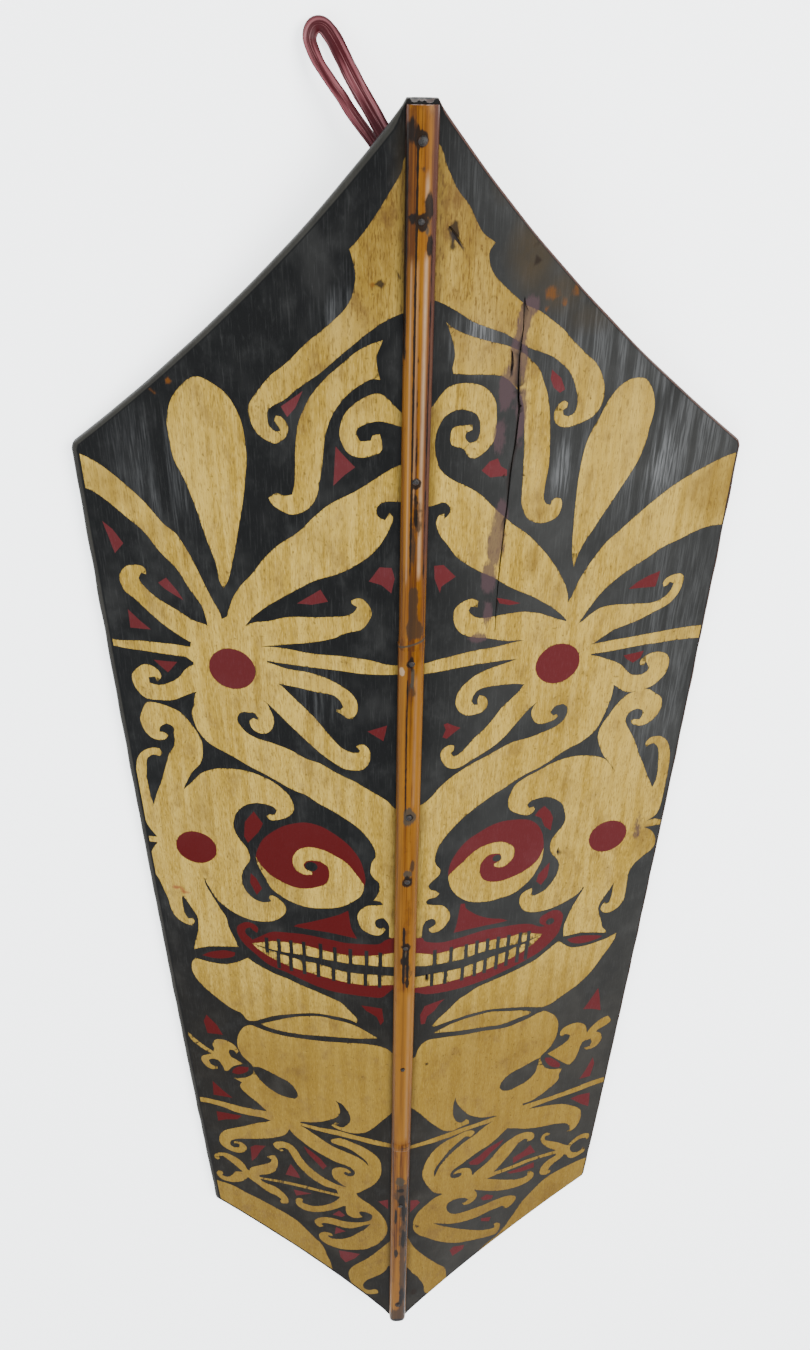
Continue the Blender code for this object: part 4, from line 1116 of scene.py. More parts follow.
def lofted(name: str, rings: Sequence[Sequence[Place]], sharp: float) -> bpy.types.Mesh:
    """A closed smooth mesh over rings of equal length.

    Args:
        name: The mesh's name.
        rings: The rings, each a list of places.
        sharp: Angle in degrees past which an edge stays sharp.

    Returns:
        The mesh.
    """
    mesh = bpy.data.meshes.new(name)
    work = bmesh.new()
    rows = [[work.verts.new(point) for point in ring] for ring in rings]
    for first, second in zip(rows, rows[1:]):
        for index in range(len(first)):
            after = (index + 1) % len(first)
            work.faces.new((first[index], first[after], second[after], second[index]))
    work.faces.new(list(reversed(rows[0])))
    work.faces.new(rows[-1])
    bmesh.ops.recalc_face_normals(work, faces=work.faces)
    work.to_mesh(mesh)
    work.free()
    mesh.shade_smooth()
    mesh.set_sharp_from_angle(angle=math.radians(sharp))
    return mesh


CRACKS = (
    Crack(1, path("57,88 57.5,104 56.5,118 57,135 58.5,150 57.5,168 56,186"
                  " 55.5,205 54.5,224 53.5,246 53,268 53.5,290"), 1.3, 1.2),
    Crack(1, path("52,116 52.6,122 52,128"), 2.2, 1.2),
    Crack(1, path("57.5,141 59,146 58,151"), 2.4, 1.4),
    Crack(1, path("114.5,480 114,484 115,488"), 1.8, 0.8),
    Crack(1, path("17.5,590 17,594 17.8,598.5"), 3.2, 1.6),
    Crack(1, path("15,53 18,57 22,62"), 2.6, 1.0),
)

MARKS = {name: tuple(StainOrPaintedLight(*row) for row in rows) for name, rows in {
    "resin": (
        (1, 58, 100, 4, 14), (1, 56, 118, 6, 20), (1, 50, 137, 5, 16, 0.9), (1, 60, 150, 4, 24, 0.85),
        (1, 48, 162, 5, 14, 0.8), (1, 52, 210, 5, 12), (1, 50, 230, 6.5, 18), (1, 47, 250, 5.5, 14),
        (1, 48, 275, 4.5, 14, 0.8), (1, 43, 292, 9, 4.5, 0.9), (1, 62, 92, 5, 8, 0.8),
        (1, 176, 470, 5, 20, 0.6), (-1, 57, 44, 3, 5, 0.5),
    ),
    "knot": (
        (1, 18.5, 54, 2.2, 5.0), (1, 16.6, 60, 1.3, 4.0, 0.9), (1, 15, 53, 1.3, 3.0, 0.7),
        (1, 19.7, 482, 3.0, 4.6, 0.85), (1, 20, 697, 2.6, 4.5, 0.8), (1, 16.7, 935, 3.0, 4, 0.85),
        (1, 16, 1053, 5, 8, 0.8), (1, 17.5, 141, 1.8, 2.2), (1, 65, 186, 1.8, 2.2), (1, 52, 185, 1.8, 1.8),
        (-1, 21, 80, 3.6, 1.6, 0.95), (-1, 17, 77.5, 3, 1.3, 0.95), (-1, 11, 76, 2, 4.2, 0.9),
        (1, 61, 60, 1.9, 6.5, 0.95), (1, 62, 72, 1.8, 6, 0.95), (1, 12, 800, 4, 5, 0.55),
        (-1, 151, 148, 2, 2.4, 0.85), (1, 24, 590, 1.5, 4, 0.7), (-1, 101, 176, 1.4, 8, 0.5),
        (1, 33, 300, 1.6, 2, 0.6),
    ),
    # Tan marks are brown stains, but the two just left of the ridge, near the top and 470 mm down, are
    # painted shade beside the strip.
    "tan": (
        (1, 74, 243, 6, 14, 0.9), (1, 185, 484, 14, 26, 0.8), (-1, 70, 1015, 60, 90, 0.35),
        (1, 80, 1000, 60, 80, 0.35), (1, 70, 940, 60, 60, 0.45), (-1, 60, 930, 60, 70, 0.4),
        (1, 190, 205, 26, 30, 0.85), (-1, 30, 60, 34, 46, 0.6), (1, 30, 45, 26, 30, 0.7),
        (-1, 120, 700, 40, 60, 0.3), (-1, 95, 165, 10, 8, 0.7), (-1, 10, 470, 12, 90, 0.75),
        (-1, 185, 200, 26, 20, 0.7), (1, 24, 104, 20, 16, 0.6), (-1, 30, 1000, 30, 60, 0.5),
        (1, 25, 930, 30, 60, 0.5), (1, 130, 950, 70, 40, 0.45), (1, 60, 118, 14, 20, 0.5),
        (1, 180, 300, 20, 30, 0.5), (1, 175, 395, 22, 30, 0.45),
    ),
    "rust": (
        (-1, 147, 141, 2.4, 3.0), (-1, 137, 136, 1.9, 2.8, 0.9), (-1, 132, 127, 1.5, 1.6, 0.6),
        (1, 72, 86, 6, 6, 0.62), (1, 80, 91, 3.5, 5, 0.7), (1, 70, 93, 2.5, 5, 0.6),
        (-1, 24, 81.5, 2.6, 2.0, 0.8), (-1, 101, 188, 1.6, 4, 0.6), (1, 86, 86, 3, 7, 0.6),
    ),
    # Sheen marks: painted highlight, laid lighter on the wood and the black; they also make the surface a
    # little less rough.
    "sheen": (
        (1, 150, 185, 12, 26, 1.0), (1, 87, 185, 6, 20, 0.9), (1, 150, 150, 60, 80, 0.45),
        (1, 120, 110, 50, 50, 0.4), (1, 170, 330, 40, 120, 0.3), (-1, 150, 190, 30, 40, 0.25),
        (1, 60, 30, 40, 30, 0.3), (1, 72, 190, 4, 24, 0.7), (-1, 145, 165, 6, 12, 0.4),
        (1, 34, 108, 16, 18, 0.9), (-1, 40, 100, 16, 16, 0.5), (-1, 60, 330, 14, 30, 0.3),
    ),
    "umber": (
        (1, 60, 66, 13, 20, 0.85), (1, 78, 86, 12, 12, 0.7), (-1, 8, 30, 5, 30, 0.4),
        (1, 95, 100, 16, 8, 0.4), (1, 44, 30, 8, 12, 0.35),
    ),
    "smear": (
        (-1, 172, 520, 4.5, 2.6, 0.95), (-1, 166, 524, 4, 2.4, 0.9),
    ),
}.items()}


@dataclass(frozen=True)
class BoardPaint:
    """The board's finish: worn black and dark red over bare golden wood, with painted sheen and painted
    shade.
    """

    black: Colour = (0.0034, 0.0036, 0.0036)
    black_worn: Colour = (0.0480, 0.0485, 0.0470)
    # Painted sheen: light grey laid over the black at the sheen marks.
    black_sheen: Colour = (0.0900, 0.0920, 0.0930)
    slate: Colour = (0.0270, 0.0270, 0.0255)
    umber: Colour = (0.0330, 0.0210, 0.0070)
    red: Colour = (0.0520, 0.0006, 0.0006)
    red_worn: Colour = (0.0812, 0.0205, 0.0235)
    smear: Colour = (0.1500, 0.0300, 0.0120)
    wood: Colour = (0.255, 0.162, 0.020)
    wood_pale: Colour = (0.360, 0.243, 0.045)
    wood_dark: Colour = (0.0700, 0.0350, 0.0075)
    # Silvery wood, for pale streaks in the grain and for painted sheen.
    wood_silver: Colour = (0.480, 0.335, 0.090)
    smudge: Colour = (0.0804, 0.0440, 0.0200)
    ochre: Colour = (0.1420, 0.0800, 0.0085)
    ochre_deep: Colour = (0.0930, 0.0488, 0.0066)
    fleck: Colour = (0.0398, 0.0201, 0.0053)
    resin: Colour = (0.0440, 0.0260, 0.0285)
    knot: Colour = (0.0100, 0.0060, 0.0035)
    rust: Colour = (0.1000, 0.0330, 0.0020)
    rim_left: Colour = (0.0290, 0.0275, 0.0230)
    rim_right: Colour = (0.0500, 0.0200, 0.0130)
    back: Colour = (0.075, 0.042, 0.018)
    back_dark: Colour = (0.028, 0.016, 0.008)
    # Near-black laid in the splits: painted shade in the cracks.
    split: Colour = (0.012, 0.009, 0.008)
    roughness: float = 0.52
    noises: tuple[tuple[str, Point, float, float, Place], ...] = (
        ("fibre", (1150.0, 52.0), 2.0, 0.6, (0.0, 0.0, 0.0)),
        ("dash", (1250.0, 210.0), 2.0, 0.6, (1.3, 4.4, 0.0)),
        ("broad", (150.0, 9.0), 2.0, 0.6, (0.0, 0.0, 0.0)),
        ("blotch", (28.0, 20.0), 3.0, 0.62, (3.1, 0.7, 0.0)),
        ("smudge", (75.0, 46.0), 4.0, 0.66, (7.7, 2.2, 0.0)),
        ("speck", (430.0, 300.0), 1.0, 0.5, (0.0, 5.3, 0.0)),
    )

    def _wood(self, shades: Shades, marks: dict[str, Value]) -> Value:
        """The bare wood's colour, by its fibres and its age, with painted sheen in patches and painted shade
        beside the strip and over the right half.

        Args:
            shades: The material's nodes.
            marks: Noises and marks by name.

        Returns:
            The colour.
        """
        x, y = marks["x"], marks["y"]
        dash, fibre, smudge = marks["dash"], marks["fibre"], marks["smudge"]
        low = 1.0 - y.smooth(-0.17, 0.01)
        foot = 1.0 - y.smooth(-0.42, -0.24)
        high = y.smooth(0.36, 0.50)
        # A darker band close along both sides of the strip: painted shade and grime beside it.
        seam = 1.0 - x.most(0.0 - x).smooth(0.0078, 0.0150)
        tan = marks["tan"] * (smudge * 1.0 + 0.35)
        return shades.coats(self.wood, (
            (marks["broad"].smooth(0.35, 0.65), self.wood_pale),
            # Painted sheen: a silvery highlight on the wood at the sheen marks.
            (marks["sheen"] * 0.75 * dash.smooth(0.35, 0.6), self.wood_silver),
            (low * 0.74, self.ochre),
            (foot * 0.30, self.ochre_deep),
            ((1.0 - dash).smooth(0.52, 0.70) * (0.34 - low * 0.22), self.wood_silver),
            (smudge.smooth(0.50, 0.70) * (0.34 + high * 0.3), self.smudge),
            (marks["blotch"].smooth(0.50, 0.78) * 0.36, self.wood_dark),
            # Tan marks: brown stains, and painted shade beside the strip on the left.
            (tan.smooth(0.1, 0.9) * 0.60, self.ochre_deep),
            (high * (smudge * 0.85 + 0.04), self.wood_dark),
            # Painted shade: the wood is a little darker over the right half.
            (x.smooth(0.0, 0.05) * 0.12, self.wood_dark),
            (dash.smooth(0.53, 0.68) * (0.48 - low * 0.20 + high * 0.3), self.wood_dark),
            (fibre.smooth(0.54, 0.72) * (0.34 - low * 0.12 + high * 0.3), self.wood_dark),
            (marks["speck"].smooth(0.68, 0.78) * 0.5, self.fleck),
            # Painted shade and grime in the band beside the strip.
            (seam * (fibre * 0.5 + 0.30), self.fleck),
        ))

    def _black(self, shades: Shades, marks: dict[str, Value]) -> Value:
        """The black paint's colour, rubbed along the fibres, with painted sheen in streaky patches and a
        painted grey sheen over the right half.

        Args:
            shades: The material's nodes.
            marks: Noises and marks by name.

        Returns:
            The colour.
        """
        # Painted sheen: the black is laid slate grey over the right half.
        right = marks["x"].smooth(-0.01, 0.06)
        worn = (marks["fibre"].smooth(0.52, 0.78) * 0.22 + marks["dash"].smooth(0.56, 0.78) * 0.14
                + marks["smudge"].smooth(0.48, 0.78) * 0.16)
        streaky = marks["fibre"].smooth(0.38, 0.62) * 0.75 + 0.2
        low = 1.0 - marks["y"].smooth(-0.25, 0.10)
        return shades.coats(self.black, (
            (right * (marks["blotch"] * 0.75 + 0.18), self.slate),
            (marks["blotch"].smooth(0.48, 0.74) * 0.40, self.slate),
            (worn, self.black_worn),
            # Painted sheen: light grey streaks on the black at the sheen marks.
            (marks["sheen"] * marks["broad"].smooth(0.36, 0.58) * streaky, self.black_sheen),
            (low * (marks["blotch"] * 0.32 - 0.02), self.umber),
            (marks["umber"] * (marks["smudge"] * 1.1 + 0.1), self.umber),
        ))

    def _red(self, shades: Shades, marks: dict[str, Value]) -> Value:
        """The red paint's colour, deep by the mouth and faded above, below and to the right.

        Args:
            shades: The material's nodes.
            marks: Noises and marks by name.

        Returns:
            The colour.
        """
        y = marks["y"]
        faded = (marks["x"].smooth(-0.02, 0.03) * 0.34).most(y.smooth(0.0, 0.42) * 0.50)
        faded = faded.most((1.0 - y.smooth(-0.34, -0.24)) * 0.34)
        rubbed = marks["dash"].smooth(0.50, 0.75) * 0.5 + marks["blotch"].smooth(0.45, 0.75) * 0.45
        faded = faded + rubbed * (faded + 0.14)
        return shades.mix(faded, self.red, self.red_worn)

    def material(self) -> bpy.types.Material:
        """Builds the material from the paint stored on the faces and the marks on the points: stains, splits,
        painted sheen and painted shade.

        Returns:
            The material.
        """
        shades = Shades("painted board")
        paint = shades.attribute("paint")
        where = shades.place((1.0, 1.0, 1.0))
        marks = {name: shades.attribute(name) for name in MARKS}
        marks["x"] = shades.value("ShaderNodeSeparateXYZ", {}, {0: where}, 0)
        marks["y"] = shades.value("ShaderNodeSeparateXYZ", {}, {0: where}, 1)
        for name, (across, down), detail, roughness, shift in self.noises:
            marks[name] = shades.noise((across, down, across), detail, roughness, shift)
        wood = self._wood(shades, marks)
        ragged = shades.attribute("brink") + marks["fibre"] * 0.8 + marks["speck"] * 0.5
        wood = shades.mix(ragged.smooth(1.46, 1.76) * 0.8, wood, self.black)
        black = self._black(shades, marks)
        black = shades.mix(marks["smear"], black, self.red)
        wood = shades.mix(marks["smear"].smooth(0.2, 0.7) * 0.8, wood, self.smear)
        grain = marks["fibre"] * 0.6 + marks["broad"] * 0.4
        back = shades.mix(grain.smooth(0.35, 0.62), self.back_dark, self.back)
        back = shades.mix(marks["blotch"].smooth(0.4, 0.75) * 0.5, back, self.back_dark)
        rim = shades.attribute("rim")
        edge = shades.mix(marks["x"].smooth(-0.01, 0.01), self.rim_left, self.rim_right)
        # Painted shade: a band of full black where the edge starts to turn down.
        black = shades.mix((rim.smooth(0.0, 0.3) - rim.smooth(0.5, 0.9)) * 0.8, black, self.black)
        black = shades.mix(rim.smooth(0.5, 1.0) * (marks["smudge"] * 0.9 + 0.25), black, edge)
        face = shades.mix(paint.near(Paint.RED.value), black, self._red(shades, marks))
        face = shades.mix(paint.near(Paint.BARE.value), face, wood)
        face = shades.mix(paint.near(Paint.BACK.value), face, back)
        uneven = marks["dash"] * 0.5 + marks["smudge"] * 0.8 - 0.65
        for name, share, strength in (("resin", 1.0, 0.80), ("rust", 0.5, 0.80), ("knot", 0.35, 0.88)):
            mark = (marks[name] + uneven * share).smooth(0.34, 0.70)
            face = shades.mix(mark * strength, face, getattr(self, name))
        # Painted shade: the splits are laid near-black.
        face = shades.mix(shades.attribute("split"), face, self.split)
        rough = self.roughness + marks["fibre"] * 0.14 - marks["sheen"] * 0.12
        adze = shades.value(
            "ShaderNodeTexVoronoi", {"feature": "F1"},
            {"Vector": shades.place((52.0, 15.0, 52.0)), "Scale": 1.0}, "Distance")
        relief = marks["fibre"] * 0.35 + marks["broad"] * 0.3 + adze * paint.near(Paint.BACK.value) * 1.6
        return shades.finish(face, rough, relief, 0.35, 0.0006, {"Specular IOR Level": 0.08})


@dataclass
class PaintedBoard:
    """The carved board with its painted face and its grip. Metres unless named otherwise."""

    form: BoardForm
    brush: Brush
    finish: BoardPaint
    cell: float = 4.2 * MM
    back_cell: float = 11 * MM
    edge_step: float = 3.2 * MM
    undulation: float = 0.28 * MM
    edge_wear: float = 0.55 * MM
    crest_lines: float = 8 * MM
    crest_steps: int = 260
    rim_rows: int = 6
    sharp: float = math.radians(38)
    pits: tuple[Point, ...] = ((-4.0, 2.0), (-0.6, 1.5), (3.2, 2.3))
    grip_span: float = 122 * MM
    grip_root: float = 22 * MM
    grip_width: float = 25 * MM
    grip_depth: float = 12 * MM
    grip_lift: float = 1.0 * MM
    grip_sink: float = 1.5 * MM
    grip_points: int = 24
    grip_squareness: float = 0.55
    grip_bend_steps: int = 8
    grip_bar_steps: int = 16
    jitter: float = 0.22
    row_height: float = 0.87
    hollow_steps: int = 110

    def _wear(self, down: float, side: int) -> float:
        """How much the long edge is worn back at a place."""
        wander = noise.noise(Vector((down * 45.0, side * 9.0, 0.0)))
        return self.edge_wear * between(0.5 + wander, 0.0, 1.0)

    def _rim(self, side: int) -> list[Point]:
        """The face's edge on one side, from the top end to the bottom end.

        Args:
            side: -1 for the left half, 1 for the right half.

        Returns:
            Places in metres.
        """
        first, last = -self.form.tip_depth, self.form.length
        steps = round((last - first) / self.edge_step)
        marks = [first + (last - first) * step / steps for step in range(steps + 1)]
        return [(side * self.form.edge(down, side, 0.0)[0][0], self.form.along(down)) for down in marks]

    def _end(self, start: Point, end: Point, steps: int) -> list[Point]:
        """Places across one of the two ends, without its corners.

        Args:
            start: One corner.
            end: The other corner.
            steps: Number of parts.

        Returns:
            Places in metres.
        """
        return [
            (start[0] + (end[0] - start[0]) * step / steps, start[1])
            for step in range(1, steps)
        ]

    def _boundary(self) -> list[Point]:
        """The face's whole edge, once round."""
        left, right = self._rim(-1), self._rim(1)
        return left + self._end(left[-1], right[-1], 6) + right[::-1] + self._end(right[0], left[0], 22)

    def _scatter(self, boundary: np.ndarray, cell: float, random_source: random.Random,
                 margin: float) -> list[Point]:
        """Jittered places inside an outline, a margin away from its corners.

        Args:
            boundary: The outline.
            cell: Their spacing.
            random_source: Where the jitter comes from.
            margin: The margin.

        Returns:
            Places in metres.
        """
        low, high = boundary.min(0), boundary.max(0)
        places = []
        row = 0
        y = low[1] + cell
        while y < high[1] - cell:
            x = low[0] + cell * (0.5 + 0.5 * (row % 2))
            while x < high[0] - cell * 0.5:
                places.append((
                    x + random_source.uniform(-self.jitter, self.jitter) * cell,
                    y + random_source.uniform(-self.jitter, self.jitter) * cell,
                ))
                x += cell
            y += cell * self.row_height
            row += 1
        grid = np.array(places)
        keep = inside(grid, boundary)
        for shift in ((margin, 0), (-margin, 0), (0, margin), (0, -margin)):
            keep &= inside(grid + np.array(shift), boundary)
        return [tuple(place) for place in grid[keep]]

    def _triangles(self, boundary: list[Point], lines: list[np.ndarray], loops: list[np.ndarray],
                   loose: list[Point]) -> tuple[np.ndarray, np.ndarray]:
        """Covers an outline with triangles that keep every given line.

        Args:
            boundary: The outline.
            lines: Open lines to keep.
            loops: Closed lines to keep.
            loose: Other places to use.

        Returns:
            Places and triangles.
        """
        places = [Vector(point) for point in boundary]
        count = len(places)
        edges = [(index, (index + 1) % count) for index in range(count)]
        for line in lines:
            first = len(places)
            places += [Vector(point) for point in line]
            edges += [(first + index, first + index + 1) for index in range(len(line) - 1)]
        for loop in loops:
            first = len(places)
            places += [Vector(point) for point in loop]
            edges += [(first + index, first + (index + 1) % len(loop)) for index in range(len(loop))]
        places += [Vector(point) for point in loose]
        found, _, faces, _, _, _ = geometry.delaunay_2d_cdt(places, edges, [], 0, 1e-6, False)
        spots = np.array([tuple(point) for point in found])
        triangles = np.array([tuple(face) for face in faces])
        keep = inside(spots[triangles].mean(1), np.array(boundary))
        if not loops:
            self._judge_by_edge(np.array(boundary), triangles, keep)
        return spots, triangles[keep]

    @staticmethod
    def _judge_by_edge(boundary: np.ndarray, triangles: np.ndarray, keep: np.ndarray) -> None:
        """Sorts the triangles on an outline by the way that they run along it, however thin.

        Args:
            boundary: The outline.
            triangles: All triangles, each counterclockwise.
            keep: Which of them lie inside, set right in place.
        """
        count = len(boundary)
        x, y = boundary.T
        forward = (x * np.roll(y, -1) - y * np.roll(x, -1)).sum() > 0
        for row, corners in enumerate(triangles.tolist()):
            for first, second in zip(corners, corners[1:] + corners[:1]):
                step = (second - first) % count
                if max(first, second) < count and step in (1, count - 1):
                    keep[row] = (step == 1) == forward

    @staticmethod
    def _loop(triangles: np.ndarray) -> list[int]:
        """The corners along the open edge of a patch of triangles, in order.

        Args:
            triangles: The triangles.

        Returns:
            The corners' numbers.
        """
        ways = set()
        for a, b, c in triangles.tolist():
            ways.update(((a, b), (b, c), (c, a)))
        after = {a: b for a, b in ways if (b, a) not in ways}
        start = next(iter(after))
        loop = [start]
        while after[loop[-1]] != start:
            loop.append(after[loop[-1]])
        return loop

    def _face_places(self, spots: np.ndarray) -> np.ndarray:
        """Gives the face's places their heights, with the hand's small unevenness.

        Args:
            spots: N by 2 places.

        Returns:
            N by 3 places.
        """
        heights = []
        for x, y in spots:
            down = self.form.top_end - y
            wander = noise.noise(Vector((x * 26.0, y * 11.0, 2.0)))
            heights.append(self.form.face(down, x) + self.undulation * (wander - 0.6))
        return np.column_stack([spots, heights])

    def _ring(self, x: float, y: float, z: float) -> list[Place]:
        """The section round the board's edge from one place on the face's edge to the back.

        Args:
            x: The place across.
            y: The place along.
            z: Its height.

        Returns:
            The section's places, without the first.
        """
        down = self.form.top_end - y
        side = -1 if x < 0 else 1
        tip = -self.form.tip_depth
        at_end = down < tip + 1e-5 or down > self.form.length - 1e-5
        section = self.form.edge(down, side, self._wear(down, side))
        corner = section[0][0]
        if at_end and abs(x) < corner - 1e-5:
            share = abs(x) / corner
            inward = self._pit(x) if down < 0 else 0.0
            low = self.form.back(down, share * section[-1][0])
            last = len(section) - 1
            return [
                (side * (abs(x) + share * (section[-1][0] - corner) * step / last),
                 y - inward * max(0.0, 1 - step / 6), z + (low - z) * step / last)
                for step in range(1, last + 1)
            ]
        return [(side * across, y, height) for across, height in section[1:]]

    def _pit(self, x: float) -> float:
        """How deep the worn end grain is at a place across the top end.

        Args:
            x: The place across.

        Returns:
            The depth in metres.
        """
        depth = 0.0
        for middle, radius in self.pits:
            reach = radius * MM
            away = abs(x - middle * MM)
            if away < reach:
                depth = max(depth, math.sqrt(reach**2 - away**2))
        return depth

    def _grip_rings(self) -> list[list[Place]]:
        """The grip as a rounded bar that turns up at both ends and flares into the back.

        Returns:
            Its rings.
        """
        middle = self.form.length / 2
        reach = self.grip_span / 2
        low, high = self.grip_lift, self.grip_lift + self.grip_depth
        roof = self.form.back(middle, 0.0) + self.grip_sink
        outer, inner = reach + self.grip_root, reach
        bend = []
        bends = self.grip_bend_steps
        for step in range(bends + 1):
            share = step / bends
            bend.append((
                (-outer, roof - (roof - high) * share**1.3), (-inner, roof - (roof - high) * share**1.3),
                1.0 + 0.45 * (1 - share)**3))
        for step in range(1, bends + 1):
            turn = math.pi / 2 * step / bends
            round_out = self.grip_root
            bend.append((
                (-outer + round_out * (1 - math.cos(turn)), high - (high - low) * math.sin(turn)),
                (-inner + 3 * MM * (1 - math.cos(turn)), high - 0.2 * MM * math.sin(turn)), 1.0))
        parts = self.grip_bar_steps
        bars = [-inner + 6 * MM + (2 * inner - 12 * MM) * step / parts for step in range(parts // 2 + 1)]
        half = bend + [((bar, low), (bar, high), 1.0) for bar in bars]
        whole = half + [((-o[0], o[1]), (-i[0], i[1]), w) for o, i, w in half[-2::-1]]
        rings = []
        for (oy, oz), (iy, iz), width in whole:
            half_width = 0.5 * self.grip_width * width
            ring = []
            for step in range(self.grip_points):
                turn = 2 * math.pi * step / self.grip_points
                cosine, sine = math.cos(turn), math.sin(turn)
                across = math.copysign(abs(cosine) ** self.grip_squareness, cosine) * half_width
                share = 0.5 + 0.5 * math.copysign(abs(sine) ** self.grip_squareness, sine)
                ring.append((
                    across, self.form.along(middle) - (oy + (iy - oy) * share), oz + (iz - oz) * share))
            rings.append(ring)
        return rings

    @staticmethod
    def _brink(count: int, triangles: np.ndarray, paint: np.ndarray) -> np.ndarray:
        """Marks the points where two paints meet.

        Args:
            count: Number of points.
            triangles: The face's triangles.
            paint: Each triangle's paint.

        Returns:
            1 at such a point, 0 elsewhere.
        """
        low, high = np.full(count, 9.0), np.full(count, -9.0)
        for corner in range(3):
            np.minimum.at(low, triangles[:, corner], paint)
            np.maximum.at(high, triangles[:, corner], paint)
        return (high > low).astype(float)

    def _crests(self) -> list[np.ndarray]:
        """The two lines along which the face bends beside the ridge.

        Returns:
            Each line's places in metres.
        """
        start = self.form.along(-self.form.tip_depth) - 2 * MM
        end = self.form.along(self.form.length) + 2 * MM
        shares = [0.012 + 0.978 * step / self.crest_steps for step in range(self.crest_steps + 1)]
        return [
            np.array([(side * self.crest_lines, start + (end - start) * share) for share in shares])
            for side in (-1, 1)
        ]

    def _motifs(self) -> list[tuple[Motif, int, np.ndarray]]:
        """Every painted form with its half and its sampled edge, undermost first."""
        found = [(motif, -1, self.brush.outline(motif, -1)) for motif in LEFT]
        return found + [(motif, 1, self.brush.outline(motif, 1)) for motif in RIGHT]

    def build(self) -> bpy.types.Object:
        """Returns:
            The piece.
        """
        motifs = self._motifs()
        source = random.Random(SEED)
        boundary = self._boundary()
        lines = self._crests() + [crack.middle() for crack in CRACKS]
        loops = [edge for _, _, edge in motifs] + [crack.outline() for crack in CRACKS]
        loose = self._scatter(np.array(boundary), self.cell, source, 2.0 * MM)
        spots, triangles = self._triangles(boundary, lines, loops, loose)
        centres = spots[triangles].mean(1)
        paint = np.full(len(triangles), Paint.GROUND.value)
        for motif, _, edge in motifs:
            paint[inside(centres, edge)] = motif.paint.value
        places = self._face_places(spots)
        split = np.zeros(len(places))
        brink = self._brink(len(places), triangles, paint)
        for crack in CRACKS:
            edge, middle = crack.outline(), crack.middle()
            held = inside(spots, edge)
            gap = np.hypot(*(spots[:, None, :] - middle[None, :, :]).transpose(2, 0, 1)).min(1)
            deep = gap < 0.4 * MM
            places[deep & (held | (gap < 0.05 * MM)), 2] -= crack.depth * MM
            split[held | (gap < 0.05 * MM)] = 1.0
        loop = self._loop(triangles)
        if len(set(loop)) != len(loop):
            raise ValueError("the face's edge crosses itself")
        rings = [self._ring(*places[index]) for index in loop]
        for index, ring in zip(loop, rings):
            places[index, 1] = ring[0][1] if abs(ring[0][1] - places[index, 1]) > 1e-6 else places[index, 1]
        points = places.tolist()
        faces = triangles.tolist()
        colours = paint.tolist()
        rows = [loop]
        for step in range(len(rings[0])):
            row = list(range(len(points), len(points) + len(loop)))
            points += [ring[step] for ring in rings]
            rows.append(row)
        for level, (first, second) in enumerate(zip(rows, rows[1:])):
            for index in range(len(loop)):
                after = (index + 1) % len(loop)
                faces.append((first[index], second[index], second[after], first[after]))
                colours.append(Paint.GROUND.value if level < self.rim_rows else Paint.BACK.value)
        self._close_back(points, faces, colours, rows[-1], source)
        first = len(points)
        grip = self._grip_rings()
        for ring in grip:
            points += ring
        size = len(grip[0])
        for row in range(len(grip) - 1):
            for index in range(size):
                after = (index + 1) % size
                a, b = first + row * size, first + (row + 1) * size
                faces.append((a + index, a + after, b + after, b + index))
                colours.append(Paint.BACK.value)
        for row in (0, len(grip) - 1):
            faces.append(tuple(first + row * size + index for index in range(size)))
            colours.append(Paint.BACK.value)
        mesh = bpy.data.meshes.new("painted_board")
        mesh.from_pydata(points, [], faces)
        self._store(mesh, colours, split, brink, 4 * len(loop))
        self._outward(mesh)
        mesh.shade_smooth()
        mesh.set_sharp_from_angle(angle=self.sharp)
        piece = place_piece("painted_board", mesh, self.finish.material())
        declare(piece, ("shield_board", "carved_grip"))
        return piece

    def _close_back(self, points: list, faces: list, colours: list, ring: list[int],
                    source: random.Random) -> None:
        """Closes the hollow back over the last ring, adding to the lists of points and faces.

        Args:
            points: The board's points.
            faces: Its faces.
            colours: Each face's paint.
            ring: The last ring's points.
            source: Where the jitter comes from.
        """
        edge = [(points[index][0], points[index][1]) for index in ring]
        lines = [
            np.array([(side * self.form.hollow, edge_y) for edge_y in np.linspace(
                self.form.along(0.012), self.form.along(self.form.length - 0.02), self.hollow_steps)])
            for side in (-1, 1)
        ]
        loose = self._scatter(np.array(edge), self.back_cell, source, 3.0 * MM)
        count = len(edge)
        spots, triangles = self._triangles(edge, lines, [], loose)
        base = len(points)
        names = {}
        corner = {(round(x * 1e6), round(y * 1e6)): ring[index] for index, (x, y) in enumerate(edge)}
        for index, (x, y) in enumerate(spots):
            known = corner.get((round(x * 1e6), round(y * 1e6)))
            if known is None and index < count:
                known = ring[index]
            if known is not None:
                names[index] = known
                continue
            names[index] = len(points)
            wander = noise.noise(Vector((x * 30.0, y * 12.0, 9.0)))
            down = self.form.top_end - y
            points.append((x, y, self.form.back(down, x) + 0.6 * MM * (wander + 0.4)))
        for a, b, c in triangles.tolist():
            faces.append((names[c], names[b], names[a]))
            colours.append(Paint.BACK.value)
        LOG.info("back: %d new points", len(points) - base)

